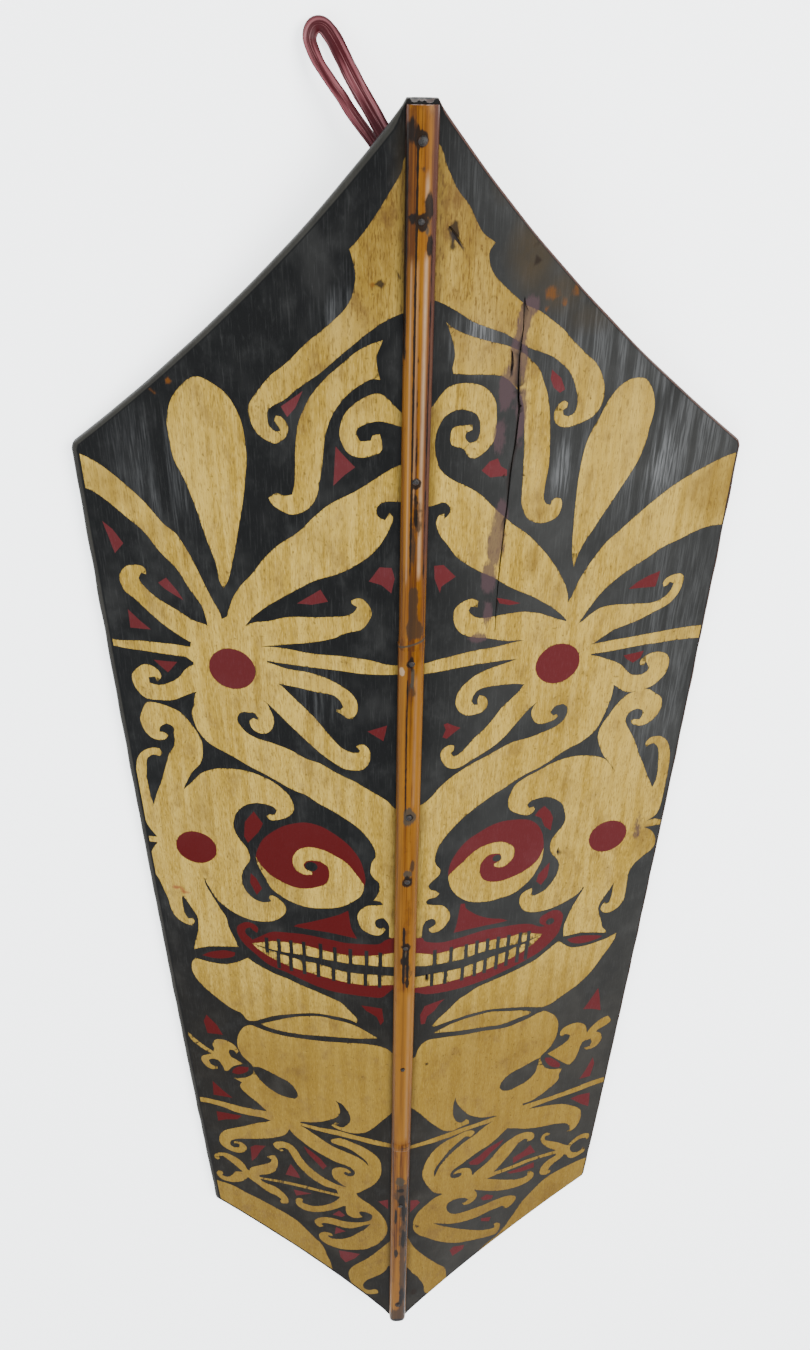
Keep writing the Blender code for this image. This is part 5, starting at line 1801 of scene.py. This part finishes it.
    def _store(self, mesh: bpy.types.Mesh, colours: list[float], split: np.ndarray,
               brink: np.ndarray, rim: int) -> None:
        """Stores the paint on the faces and the marks on the points.

        Args:
            mesh: The board's mesh.
            colours: Each face's paint.
            split: How split each point of the face is.
            brink: Which points of the face have two paints.
            rim: Number of points round the edge.
        """
        layer = mesh.attributes.new("paint", "FLOAT", "FACE")
        layer.data.foreach_set("value", np.array(colours, np.float32))
        where = point_places(mesh)[:, :2]
        count, on_face = len(where), len(split)
        top = np.zeros(count)
        top[:on_face] = 1.0
        for name, soft_marks in MARKS.items():
            total = np.zeros(count)
            for soft_mark in soft_marks:
                total = np.maximum(total, soft_mark.amount(where))
            store(mesh, name, total * top)
        for name, start, values in (("split", 0, split), ("brink", 0, brink), ("rim", on_face, np.ones(rim))):
            whole = np.zeros(count)
            whole[start:start + len(values)] = values
            store(mesh, name, whole)

    @staticmethod
    def _outward(mesh: bpy.types.Mesh) -> None:
        """Turns every face outwards and drops points that no face uses.

        Args:
            mesh: The board's mesh.
        """
        work = bmesh.new()
        work.from_mesh(mesh)
        unused = [point for point in work.verts if not point.link_faces]
        bmesh.ops.delete(work, geom=unused, context="VERTS")
        bmesh.ops.recalc_face_normals(work, faces=work.faces)
        open_edges = sum(1 for edge in work.edges if not edge.is_manifold)
        LOG.info("open or shared edges on the board: %d", open_edges)
        work.to_mesh(mesh)
        work.free()


@dataclass(frozen=True)
class CaneFinish:
    """Glossy orange-brown cane with soot, wear and pale scrapes."""

    base: Colour = (0.108, 0.0360, 0.0012)
    light: Colour = (0.180, 0.0740, 0.0030)
    dark: Colour = (0.0300, 0.0070, 0.0005)
    soot: Colour = (0.0030, 0.0021, 0.0015)
    tar: Colour = (0.0290, 0.0250, 0.0175)
    worn: Colour = (0.0240, 0.0130, 0.0060)
    purple: Colour = (0.0350, 0.0130, 0.0120)
    pale: Colour = (0.260, 0.180, 0.100)
    gleam: Colour = (0.300, 0.200, 0.120)

    def material(self) -> bpy.types.Material:
        """Builds the cane's material from its fibres and its stored marks.

        Returns:
            The material.
        """
        shades = Shades("bamboo")
        fibre = shades.noise((950.0, 9.0, 950.0), 2.0, 0.6)
        band = shades.noise((300.0, 6.0, 300.0), 3.0, 0.55, (0.0, 1.9, 0.0))
        blotch = shades.noise((190.0, 75.0, 190.0), 3.0, 0.65)
        colour = shades.ramp(band, ((0.36, self.dark), (0.46, self.base), (0.64, self.light)))
        colour = shades.coats(colour, (
            (0.25, self.base),
            (fibre.smooth(0.56, 0.66) * 0.65, self.dark),
            ((1.0 - fibre).smooth(0.56, 0.70) * 0.45, self.light),
            (blotch.smooth(0.50, 0.72) * 0.38, self.dark),
            (shades.attribute("golden") * (band * 0.9 + 0.2), self.light),
            (shades.attribute("flank") * 0.85, self.purple),
            (shades.attribute("gleam") * (fibre * 1.1 + blotch * 0.9 - 0.25), self.gleam),
        ))
        uneven = blotch * 1.2 + fibre * 0.4 - 0.80
        for name, strength in (("worn", 0.85), ("tar", 0.88), ("soot", 0.94), ("pale", 0.85)):
            mark = (shades.attribute(name) + uneven).smooth(0.36, 0.64) * strength
            colour = shades.mix(mark, colour, getattr(self, name))
        rough = 0.30 + fibre * 0.18 + shades.attribute("tar") * 0.25
        return shades.finish(
            colour, rough, fibre * 0.6 + band * 0.4, 0.25, 0.0004, {"Specular IOR Level": 0.10})


# Oval marks on the strip: across, down, half sizes and strength, in mm.
STRIP_SPOTS = {
    "soot": (
        (-1.2, 13.5, 5.0, 4.2), (-5, 9, 3, 8, 0.8), (0.4, 49.8, 4.6, 5.0), (-4, 48, 3, 3, 0.8),
        (3.6, 42, 2.4, 9, 0.9), (4.2, 60, 2.0, 8, 0.8), (0, 485.5, 4.8, 6.5), (0.4, 426, 3.0, 3.4),
        (0.6, 185, 3.2, 4), (0.5, 200, 2.6, 14, 0.7), (0, 551, 4.2, 5), (-1, 566, 3.0, 6, 0.9),
        (1.5, 590, 2.0, 6), (-1, 303, 3.0, 3.6), (0, 303, 2, 9, 0.7), (0, 1094, 9, 6),
        (-0.6, 693, 2.6, 3.4), (1, 882, 4.0, 12), (3.6, 898, 2.2, 26, 0.9), (0, 864, 4, 4, 0.8),
        (3.4, 942, 2.2, 20, 0.9), (-4, 905, 1.6, 16, 0.8), (3, 1045, 3.2, 24, 0.8), (0, 1062, 4, 6),
        (-3, 968, 2.2, 12, 0.8),
    ),
    "worn": (
        (1, 279, 6.5, 8), (-1, 225, 2.4, 18, 0.7), (2.5, 205, 3, 14, 0.7), (0, 322, 7, 10, 0.5),
        (0, 870, 7, 20, 0.8), (1, 575, 6, 16, 0.6), (0, 1085, 10, 20, 0.8), (0, 26, 7, 3, 0.5),
        (2, 945, 5, 26, 0.6), (3, 1010, 4, 20, 0.7), (3, 470, 3, 8, 0.6),
    ),
    "tar": (
        (0, 425.5, 5.6, 9.5), (0, 850, 6, 7.5), (0.6, 313, 1.7, 12, 0.8), (0, 478, 4, 5, 0.8),
        (0, 560, 3, 9, 0.7), (3.2, 52, 2.4, 7, 0.7),
    ),
    "pale": (
        (-6, 309, 2.0, 3.6),
    ),
}

# Lines along the strip: across, start, end, half width and strength, in mm.
STRIP_STREAKS = {
    "soot": (
        (-2.3, 4, 246, 0.7), (-0.4, 62, 180, 0.5, 0.7), (-1.6, 528, 594, 1.1), (1.7, 545, 588, 0.9),
        (-2.6, 310, 425, 0.6, 0.8), (6.4, 840, 1085, 0.9, 0.8), (5.6, 60, 250, 0.5, 0.7),
        (-7.3, 2, 120, 0.8, 0.8),
    ),
    "worn": (
        (-0.2, 246, 289, 3.0), (3.2, 850, 1080, 3.4, 0.78),
    ),
    "golden": (
        (-0.5, 596, 795, 7), (-4.5, 64, 240, 2.5, 0.6), (-2, 955, 1070, 4, 0.5), (-5.5, 300, 600, 2.2, 0.8),
        (5.5, 300, 600, 2.0, 0.8), (0, 330, 400, 4, 0.4),
    ),
    "gleam": (
        (2.7, 26, 44, 0.9, 0.8), (2.9, 62, 246, 0.9, 0.9), (3.0, 310, 420, 0.8, 0.3),
        (3.4, 600, 790, 1.2, 0.2), (-4.4, 66, 250, 0.5, 0.5), (-1.2, 66, 200, 0.4, 0.4),
    ),
}


@dataclass
class BambooStrip:
    """The split cane nailed along the ridge. Metres."""

    form: BoardForm
    finish: CaneFinish
    start: float = -0.6 * MM
    half_width: float = 7.9 * MM
    lower_gain: float = 0.5 * MM
    depth: float = 5.4 * MM
    fullness: float = 2.5
    nodes: Point = (289 * MM, 800 * MM)
    node_swell: float = 0.55 * MM
    node_half_length: float = 5 * MM
    end_round: float = 9 * MM
    gap: float = 0.3 * MM
    arch_steps: int = 30
    station: float = 2.4 * MM
    fibre_depth: float = 0.16 * MM

    @property
    def end(self) -> float:
        """Where the strip ends."""
        return self.form.length + self.form.strip_overhang

    def swell(self, down: float) -> float:
        """How much the strip stands out at a cane node.

        Args:
            down: Distance from the top end.

        Returns:
            The swell in metres.
        """
        result = 0.0
        for node in self.nodes:
            near = max(0.0, 1 - abs(down - node) / self.node_half_length)
            result = max(result, self.node_swell * near**0.5)
        return result

    def _share(self, down: float) -> float:
        """How full the section is, less at the two ends.

        Args:
            down: Distance from the top end.

        Returns:
            A share.
        """
        tail = self.end - down
        if tail < self.end_round:
            return max(0.08, math.sqrt(max(0.0, 1 - (0.96 * (1 - tail / self.end_round)) ** 2)))
        return 0.93 + 0.07 * between((down - self.start) / MM, 0.0, 1.0)

    def _ring(self, down: float) -> list[Place]:
        """The section at one place: flat below, a squarish arch with faint ribs above.

        Args:
            down: Distance from the top end.

        Returns:
            The section's places.
        """
        share, swell = self._share(down), self.swell(down)
        base = self.form.face(down, 0.0) + self.gap
        slant = 0.0
        for node in self.nodes:
            if abs(down - node) < self.node_half_length:
                slant = 1.0
        left = (self.half_width + (self.lower_gain if down > self.nodes[0] else 0.0) + swell / 2) * share**0.4
        right = (self.half_width + swell / 2) * share**0.4
        ring = []
        for step in range(self.arch_steps + 1):
            turn = math.pi * step / self.arch_steps
            cosine = math.cos(turn)
            reach = right if cosine > 0 else left
            across = reach * math.copysign(abs(cosine) ** (2 / self.fullness), cosine)
            height = (self.depth + swell) * share * math.sin(turn) ** (2 / self.fullness)
            rib = noise.noise(Vector((across * 900.0, down * 6.0, 3.0)))
            dent = noise.noise(Vector((across * 120.0, down * 34.0, 8.0)))
            height -= self.fibre_depth * (0.5 + 0.5 * rib) * min(1.0, height / MM)
            height -= 0.22 * MM * max(0.0, dent - 0.25) * min(1.0, height / MM)
            if slant and abs(down + across * 0.35 - self.nodes[0]) < 0.9 * MM:
                height -= 0.25 * MM * min(1.0, height / MM)
            ring.append((across, self.form.along(down), base + max(height, 0.0)))
        return ring

    @staticmethod
    def _spot(x: np.ndarray, v: np.ndarray, across: float, down: float, half_across: float, half_down: float,
              strength: float = 1.0) -> np.ndarray:
        """A soft oval mark, as its amount at each point, all in mm."""
        away = np.hypot((x - across) / half_across, (v - down) / half_down)
        return strength * np.clip(1.5 - 1.2 * away, 0, 1)

    @staticmethod
    def _streak(x: np.ndarray, v: np.ndarray, across: float, start: float, end: float, half_across: float,
                strength: float = 1.0) -> np.ndarray:
        """A soft line along the strip, as its amount at each point, all in mm."""
        side = np.clip(1.4 - np.abs(x - across) / half_across, 0, 1)
        return strength * side * np.clip((v - start) / 6, 0, 1) * np.clip((end - v) / 6, 0, 1)

    def build(self) -> bpy.types.Object:
        """Returns:
            The piece.
        """
        count = round((self.end - self.start) / self.station)
        downs = [self.start + (self.end - self.start) * step / count for step in range(count + 1)]
        extra = [self.end - self.end_round * share for share in (0.6, 0.4, 0.22, 0.1, 0.04)]
        extra += [node + 0.7 * MM * step for node in self.nodes for step in range(-8, 9)]
        downs = sorted(set(downs + extra))
        mesh = lofted("bamboo_strip", [self._ring(down) for down in downs], 50)
        self._mark(mesh)
        piece = place_piece("bamboo_strip", mesh, self.finish.material())
        declare(piece, ("bamboo_ridge_strip",))
        return piece

    def _mark(self, mesh: bpy.types.Mesh) -> None:
        """Stores the soot, tar, wear and pale marks on the strip's points.

        Args:
            mesh: The strip's mesh.
        """
        where = point_places(mesh)
        x = where[:, 0] / MM
        v = (self.form.top_end - where[:, 1]) / MM

        seam = np.clip(1.3 - np.abs(v + 0.35 * x - self.nodes[0] / MM) / 0.9, 0, 1)
        second = np.clip(1.2 - np.abs(v + 0.08 * x - self.nodes[1] / MM) / 1.0, 0, 1)
        extra = {
            "worn": [second * 0.6],
            "tar": [seam],
            "flank": [
                np.clip((x - 4.2) / 1.2, 0, 1) * np.clip((262 - v) / 40, 0.10, 1),
                np.clip((-x - 6.0) / 1.2, 0, 1) * np.clip((90 - v) / 30, 0.15, 1),
            ],
        }
        for name in ("soot", "worn", "tar", "pale", "golden", "gleam", "flank"):
            total = np.zeros(len(x))
            found = [self._spot(x, v, *row) for row in STRIP_SPOTS.get(name, ())]
            found += [self._streak(x, v, *row) for row in STRIP_STREAKS.get(name, ())]
            for mark in found + extra.get(name, []):
                total = np.maximum(total, mark)
            store(mesh, name, total)


@dataclass(frozen=True)
class IronFinish:
    """Dull dark iron with a little rust."""

    dark: Colour = (0.0060, 0.0052, 0.0046)
    light: Colour = (0.0280, 0.0265, 0.0250)
    rust: Colour = (0.0450, 0.0190, 0.0090)

    def material(self) -> bpy.types.Material:
        """Builds the iron's material.

        Returns:
            The material.
        """
        shades = Shades("dark iron")
        pitting = shades.noise((1400.0, 1400.0, 1400.0), 4.0, 0.65)
        patch = shades.noise((300.0, 300.0, 300.0), 3.0, 0.6)
        colour = shades.mix(pitting.smooth(0.35, 0.7), self.dark, self.light)
        colour = shades.mix(patch.smooth(0.5, 0.68) * 0.6, colour, self.rust)
        return shades.finish(colour, 0.42 + pitting * 0.25, pitting, 0.5, 0.0003, {
            "Metallic": 0.15, "Specular IOR Level": 0.25})


@dataclass
class RidgeNails:
    """Hammered iron nails down the strip, repeated over points. Metres."""

    form: BoardForm
    strip: BambooStrip
    finish: IronFinish
    downs: tuple[float, ...] = (14.2, 49.4, 183.7, 302.7, 426.0, 485.0, 552.0, 693.0, 888.0, 1062.0)
    through: int = 1
    behind: float = 9.0 * MM
    bite: float = 6.0 * MM
    shank_radius: float = 0.8 * MM
    head_radius: float = 3.0 * MM
    head_depth: float = 1.15 * MM
    head_shares: tuple[float, ...] = (0.86, 0.58, 0.70, 0.64, 0.78, 0.74, 0.66, 0.52, 0.70, 0.60)

    def _points(self) -> bpy.types.Object:
        """A mesh of one point for each nail, with how far its shank reaches down.

        Returns:
            The piece.
        """
        mesh = bpy.data.meshes.new("iron_nails")
        places, reaches = [], []
        for number, down_mm in enumerate(self.downs):
            down = down_mm * MM
            crest = self.form.face(down, 0.0)
            seat = crest + self.strip.depth + self.strip.swell(down) + 0.25 * MM
            point = crest - self.bite
            if number == self.through:
                point = self.form.back(down, 0.0) - self.behind
            places.append((0.0, self.form.along(down), seat))
            reaches.append(seat - point)
        mesh.from_pydata(places, [], [])
        store(mesh, "reach", reaches)
        store(mesh, "share", self.head_shares)
        return place_piece("iron_nails", mesh, None)

    def _tree(self, material: bpy.types.Material) -> bpy.types.NodeTree:
        """The tree that sets a hammered head and a shank on every point.

        Args:
            material: The nails' material.

        Returns:
            The tree.
        """
        tree = bpy.data.node_groups.new("nails on points", "GeometryNodeTree")
        face = tree.interface
        face.new_socket("Geometry", in_out="INPUT", socket_type="NodeSocketGeometry")
        for name in ("Head Radius", "Head Depth", "Shank Radius"):
            face.new_socket(name, in_out="INPUT", socket_type="NodeSocketFloat")
        face.new_socket("Seed", in_out="INPUT", socket_type="NodeSocketInt")
        face.new_socket("Geometry", in_out="OUTPUT", socket_type="NodeSocketGeometry")

        def node(kind: str, settings: dict[str, Any], inputs: dict[Any, Any]) -> bpy.types.Node:
            """Adds a node and feeds its sockets.

            Args:
                kind: The node's type.
                settings: Its settings.
                inputs: Its sockets by name or number.

            Returns:
                The node.
            """
            made = tree.nodes.new(kind)
            for name, setting in settings.items():
                setattr(made, name, setting)
            for key, given in inputs.items():
                if isinstance(given, bpy.types.NodeSocket):
                    tree.links.new(given, made.inputs[key])
                else:
                    made.inputs[key].default_value = given
            return made

        entry = node("NodeGroupInput", {}, {})
        ball = node("GeometryNodeMeshUVSphere", {}, {"Segments": 20, "Rings": 12, "Radius": 1.0})
        where = node("GeometryNodeInputPosition", {}, {})
        parts = node("ShaderNodeSeparateXYZ", {}, {0: where.outputs[0]})
        low = node("FunctionNodeCompare", {"data_type": "FLOAT", "operation": "LESS_THAN"},
                   {0: parts.outputs[2], 1: -0.05})
        dome = node("GeometryNodeDeleteGeometry", {"domain": "POINT"},
                    {"Geometry": ball.outputs["Mesh"], "Selection": low.outputs[0]})
        sole = node("GeometryNodeMeshCircle", {"fill_type": "NGON"}, {"Vertices": 20, "Radius": 1.0})
        sole_turned = node("GeometryNodeFlipFaces", {}, {"Mesh": sole.outputs["Mesh"]})
        closed = node("GeometryNodeJoinGeometry", {}, {})
        tree.links.new(dome.outputs["Geometry"], closed.inputs[0])
        tree.links.new(sole_turned.outputs["Mesh"], closed.inputs[0])
        merged = node("GeometryNodeMergeByDistance", {}, {"Geometry": closed.outputs[0], "Distance": 0.01})
        spread = node("FunctionNodeRandomValue", {"data_type": "FLOAT_VECTOR"},
                      {0: (0.86, 0.86, 0.8), 1: (1.0, 1.0, 1.0), 8: entry.outputs["Seed"]})
        share = node("GeometryNodeInputNamedAttribute", {"data_type": "FLOAT"}, {"Name": "share"})
        radius = node("ShaderNodeMath", {"operation": "MULTIPLY"},
                      {0: entry.outputs["Head Radius"], 1: share.outputs[0]})
        size = node("ShaderNodeCombineXYZ", {}, {
            0: radius.outputs[0], 1: radius.outputs[0], 2: entry.outputs["Head Depth"]})
        head_size = node("ShaderNodeVectorMath", {"operation": "MULTIPLY"},
                         {0: size.outputs[0], 1: spread.outputs[0]})
        turn = node("FunctionNodeRandomValue", {"data_type": "FLOAT_VECTOR"},
                    {0: (-0.10, -0.10, 0.0), 1: (0.10, 0.10, 6.28), 8: entry.outputs["Seed"]})
        heads = node("GeometryNodeInstanceOnPoints", {}, {
            "Points": entry.outputs["Geometry"], "Instance": merged.outputs[0],
            "Rotation": turn.outputs[0], "Scale": head_size.outputs[0]})
        heads_real = node("GeometryNodeRealizeInstances", {}, {0: heads.outputs[0]})
        bumps = node("ShaderNodeTexNoise", {"noise_dimensions": "3D"}, {"Scale": 420.0, "Detail": 2.0})
        centred = node("ShaderNodeVectorMath", {"operation": "SUBTRACT"},
                       {0: bumps.outputs["Color"], 1: (0.5, 0.5, 0.5)})
        small = node("ShaderNodeVectorMath", {"operation": "MULTIPLY"},
                     {0: centred.outputs[0], 1: (0.0007, 0.0007, 0.0004)})
        hammered = node("GeometryNodeSetPosition", {}, {
            "Geometry": heads_real.outputs[0], "Offset": small.outputs[0]})
        rod = node("GeometryNodeMeshCone", {}, {
            "Vertices": 12, "Radius Top": 0.3, "Radius Bottom": 1.0, "Depth": 1.0})
        turned_rod = node("GeometryNodeTransform", {}, {
            "Geometry": rod.outputs["Mesh"], "Rotation": (math.pi, 0.0, 0.0)})
        reach = node("GeometryNodeInputNamedAttribute", {"data_type": "FLOAT"}, {"Name": "reach"})
        shank_size = node("ShaderNodeCombineXYZ", {}, {
            0: entry.outputs["Shank Radius"], 1: entry.outputs["Shank Radius"], 2: reach.outputs[0]})
        shanks = node("GeometryNodeInstanceOnPoints", {}, {
            "Points": entry.outputs["Geometry"], "Instance": turned_rod.outputs[0],
            "Scale": shank_size.outputs[0]})
        joined = node("GeometryNodeJoinGeometry", {}, {})
        tree.links.new(hammered.outputs[0], joined.inputs[0])
        tree.links.new(shanks.outputs[0], joined.inputs[0])
        real = node("GeometryNodeRealizeInstances", {}, {0: joined.outputs[0]})
        smooth = node("GeometryNodeSetShadeSmooth", {}, {0: real.outputs[0]})
        dressed = node("GeometryNodeSetMaterial", {}, {"Geometry": smooth.outputs[0], "Material": material})
        node("NodeGroupOutput", {}, {0: dressed.outputs[0]})
        return tree

    def build(self) -> bpy.types.Object:
        """Returns:
            The piece.
        """
        piece = self._points()
        material = self.finish.material()
        tree = self._tree(material)
        modifier = piece.modifiers.new("nails", "NODES")
        modifier.node_group = tree
        wanted = {
            "Head Radius": self.head_radius, "Head Depth": self.head_depth,
            "Shank Radius": self.shank_radius, "Seed": SEED,
        }
        for item in tree.interface.items_tree:
            if item.item_type == "SOCKET" and item.in_out == "INPUT" and item.name in wanted:
                modifier[item.identifier] = wanted[item.name]
        view = bpy.context.evaluated_depsgraph_get()
        mesh = bpy.data.meshes.new_from_object(piece.evaluated_get(view))
        piece.modifiers.remove(modifier)
        piece.data = mesh
        mesh.name = "iron_nails"
        mesh.set_sharp_from_angle(angle=math.radians(50))
        declare(piece, [f"ridge_nail_{number + 1}" for number in range(len(self.downs))])
        return piece


@dataclass(frozen=True)
class RibbonFinish:
    """Thin crinkled ribbon, dusty pink where single and dark red in its folds."""

    pink: Colour = (0.150, 0.0450, 0.0520)
    deep: Colour = (0.0340, 0.0012, 0.0032)
    pale: Colour = (0.290, 0.135, 0.140)

    def material(self) -> bpy.types.Material:
        """Builds the ribbon's material from its stored folds.

        Returns:
            The material.
        """
        shades = Shades("ribbon")
        where = shades.value("ShaderNodeAttribute", {"attribute_name": "lie"}, {}, "Vector")
        crinkle = shades.value("ShaderNodeTexNoise", {}, {
            "Vector": where, "Scale": 5.0, "Detail": 3.0, "Roughness": 0.6})
        stretch = shades.value("ShaderNodeTexNoise", {}, {
            "Vector": where, "Scale": 1.7, "Detail": 2.0, "Roughness": 0.5})
        fold = shades.attribute("fold")
        colour = shades.mix((fold * 0.7 + stretch * 1.5 - 0.55).smooth(0.25, 0.70), self.pink, self.deep)
        colour = shades.mix(crinkle.smooth(0.54, 0.68) * 0.65, colour, self.pale)
        colour = shades.mix((1.0 - crinkle).smooth(0.56, 0.68) * 0.7, colour, self.deep)
        return shades.finish(
            colour, 0.34 + crinkle * 0.2, crinkle, 0.4, 0.0004, {"Specular IOR Level": 0.15})


@dataclass
class HangingRibbon:
    """A flat ribbon loop tied behind the board. Route: across, from the top and height, mm."""

    form: BoardForm
    finish: RibbonFinish
    width: float = 7.4 * MM
    thickness: float = 0.8 * MM
    route: tuple[Place, ...] = (
        (-4.6, 47.0, 30.5), (-9.5, 39.5, 29.5), (-15.5, 29.5, 27.5), (-21.8, 18.7, 24.5),
        (-31.8, 6.7, 19.5), (-38.0, -1.6, 15.5), (-44.2, -9.3, 11.5), (-49.8, -17.5, 7.8),
        (-52.8, -25.0, 5.0), (-50.6, -30.5, 3.8), (-45.6, -30.6, 3.8), (-40.5, -24.5, 5.2),
        (-36.3, -16.8, 8.4), (-32.0, -9.3, 12.5), (-27.3, -2.0, 16.5), (-22.6, 5.0, 20.4),
        (-17.2, 13.4, 24.4), (-11.0, 23.5, 27.6), (-4.5, 33.5, 29.6), (1.2, 41.5, 30.5),
    )
    section: int = 16
    fine_steps: int = 5

    def middle_line(self) -> list[Vector]:
        """The ribbon's middle line in metres.

        Returns:
            Its places, one end to the other.
        """
        points = [Vector((x * MM, self.form.along(down * MM), z * MM)) for x, down, z in self.route]
        line = []
        for index in range(len(points) - 1):
            before, start = points[max(index - 1, 0)], points[index]
            end, after = points[index + 1], points[min(index + 2, len(points) - 1)]
            for step in range(self.fine_steps):
                t = step / self.fine_steps
                line.append(0.5 * (
                    2 * start + (end - before) * t + (2 * before - 5 * start + 4 * end - after) * t**2
                    + (3 * start - before - 3 * end + after) * t**3))
        return line + [points[-1]]

    def build(self) -> bpy.types.Object:
        """Returns:
            The piece.
        """
        line = self.middle_line()
        length = sum((b - a).length for a, b in zip(line, line[1:]))
        rings, folds, lies = [], [], []
        walked = 0.0
        for index, point in enumerate(line):
            walked += (point - line[max(index - 1, 0)]).length
            share = walked / length
            ahead = (line[min(index + 1, len(line) - 1)] - line[max(index - 1, 0)]).normalized()
            twist = self._twist(share)
            side = Vector((0, 0, 1)).cross(ahead).normalized()
            up = ahead.cross(side).normalized()
            flat = side * math.cos(twist) + up * math.sin(twist)
            over = up * math.cos(twist) - side * math.sin(twist)
            width = self.width * self._breadth(share)
            ring = []
            for step in range(self.section):
                turn = 2 * math.pi * step / self.section
                across = math.cos(turn)
                crease = noise.noise(Vector((across * 2.4, walked * 34.0, 5.0)))
                ripple = noise.noise(Vector((across * 1.1, walked * 48.0, 1.0)))
                lift = self.thickness * 0.5 * math.sin(turn) + (crease * 0.9 + ripple * 0.7) * MM
                wander = 1.0 + 0.10 * noise.noise(Vector((step * 0.5, walked * 120.0, 2.0)))
                ring.append(tuple(point + flat * (0.5 * width * across * wander) + over * lift))
                folds.append(between(0.5 + 1.4 * crease + (0.35 if abs(across) > 0.8 else 0.0), 0.0, 1.0))
                lies.append((across * 1.5, walked * 5.0, math.sin(turn) * 0.3))
            rings.append(ring)
        mesh = lofted("ribbon_loop", rings, 180)
        store(mesh, "fold", folds)
        lie = mesh.attributes.new("lie", "FLOAT_VECTOR", "POINT")
        lie.data.foreach_set("vector", np.array(lies, np.float32).ravel())
        piece = place_piece("ribbon_loop", mesh, self.finish.material())
        LOG.info("ribbon: %.1f mm long", length / MM)
        declare(piece, ("hanging_ribbon",))
        return piece

    @staticmethod
    def _twist(share: float) -> float:
        """How the ribbon turns about its line: near edge-on on its left strand, flat on its right."""
        return math.radians(22 - 14 * between((share - 0.40) / 0.18, 0.0, 1.0))

    @staticmethod
    def _breadth(share: float) -> float:
        """How broad the ribbon is, gathered towards its two ends."""
        return 0.84 + 0.30 * between((share - 0.4) / 0.15, 0.0, 1.0) - 0.25 * max(0.0, share - 0.9) / 0.1


@dataclass
class Studio:
    """The camera, a plain pale floor and soft lights. Metres and degrees."""

    eye: Place = (-0.03929, 0.58477, 0.60011)
    turn: Place = (-32.6052, -3.1324, 0.8482)
    level: float = 0.34
    lens: float = 28.0
    floor: float = 6.0
    floor_drop: float = 0.0004
    floor_colour: Colour = (0.92, 0.93, 0.94)
    floor_light: Colour = (0.97, 1.0, 1.0)
    floor_glow: float = 1.9
    sky: Colour = (0.90, 0.94, 1.0)
    sky_strength: float = 1.35
    lights: tuple[tuple[str, Place, Place, float, float, Colour], ...] = (
        ("key", (1.5, 1.1, 2.0), (0.0, 0.1, 0.0), 1.3, 120.0, (1.0, 0.98, 0.95)),
        ("fill", (-1.8, -0.6, 2.2), (0.0, -0.1, 0.0), 2.4, 48.0, (0.93, 0.96, 1.0)),
    )

    def camera(self) -> None:
        """Sets the camera where the photograph was taken from."""
        data = bpy.data.cameras.new("camera")
        data.sensor_fit = "VERTICAL"
        data.sensor_height = 36.0
        data.lens = self.lens
        data.clip_start = 0.01
        camera = bpy.data.objects.new("camera", data)
        bpy.context.scene.collection.objects.link(camera)
        turned = Euler([math.radians(angle) for angle in self.turn], "XYZ").to_matrix().to_4x4()
        level = Matrix.Rotation(math.radians(self.level), 4, "X")
        camera.matrix_world = Matrix.Translation(Vector(self.eye)) @ level @ turned
        bpy.context.scene.camera = camera

    def _light(self, name: str, place: Place, aim: Place, size: float, power: float, colour: Colour) -> None:
        """Adds one soft square light aimed at a place.

        Args:
            name: Its name.
            place: Where it is.
            aim: What it looks at.
            size: Its side.
            power: Its power in watts.
            colour: Its colour.
        """
        data = bpy.data.lights.new(name, "AREA")
        data.size = size
        data.energy = power
        data.color = colour
        light = bpy.data.objects.new(name, data)
        bpy.context.scene.collection.objects.link(light)
        light.location = place
        light.rotation_euler = (Vector(aim) - Vector(place)).to_track_quat("-Z", "Y").to_euler()

    def build(self) -> None:
        """Adds the camera, the floor and the lights."""
        self.camera()
        half = self.floor / 2
        mesh = bpy.data.meshes.new("floor")
        corners = [(x * half, y * half, -self.floor_drop) for x, y in ((-1, -1), (1, -1), (1, 1), (-1, 1))]
        mesh.from_pydata(corners, [], [(0, 1, 2, 3)])
        material = Shades("pale floor").finish(self.floor_colour, 0.9, fixed={
            "Emission Color": self.floor_light, "Emission Strength": self.floor_glow})
        place_piece("floor", mesh, material)
        world = bpy.data.worlds.new("studio")
        world.use_nodes = True
        background = world.node_tree.nodes["Background"]
        background.inputs[0].default_value = (*self.sky, 1.0)
        background.inputs[1].default_value = self.sky_strength
        bpy.context.scene.world = world
        for light in self.lights:
            self._light(*light)


def main() -> None:
    """Builds the studio and every piece of the shield, in order."""
    logging.basicConfig(level=logging.INFO, format="%(name)s: %(message)s")
    noise.seed_set(SEED)
    Studio().build()
    HangingRibbon(BOARD, RibbonFinish()).build()
    PaintedBoard(BOARD, Brush(), BoardPaint()).build()
    strip = BambooStrip(BOARD, CaneFinish())
    strip.build()
    RidgeNails(BOARD, strip, IronFinish()).build()


if __name__ == "__main__":
    main()
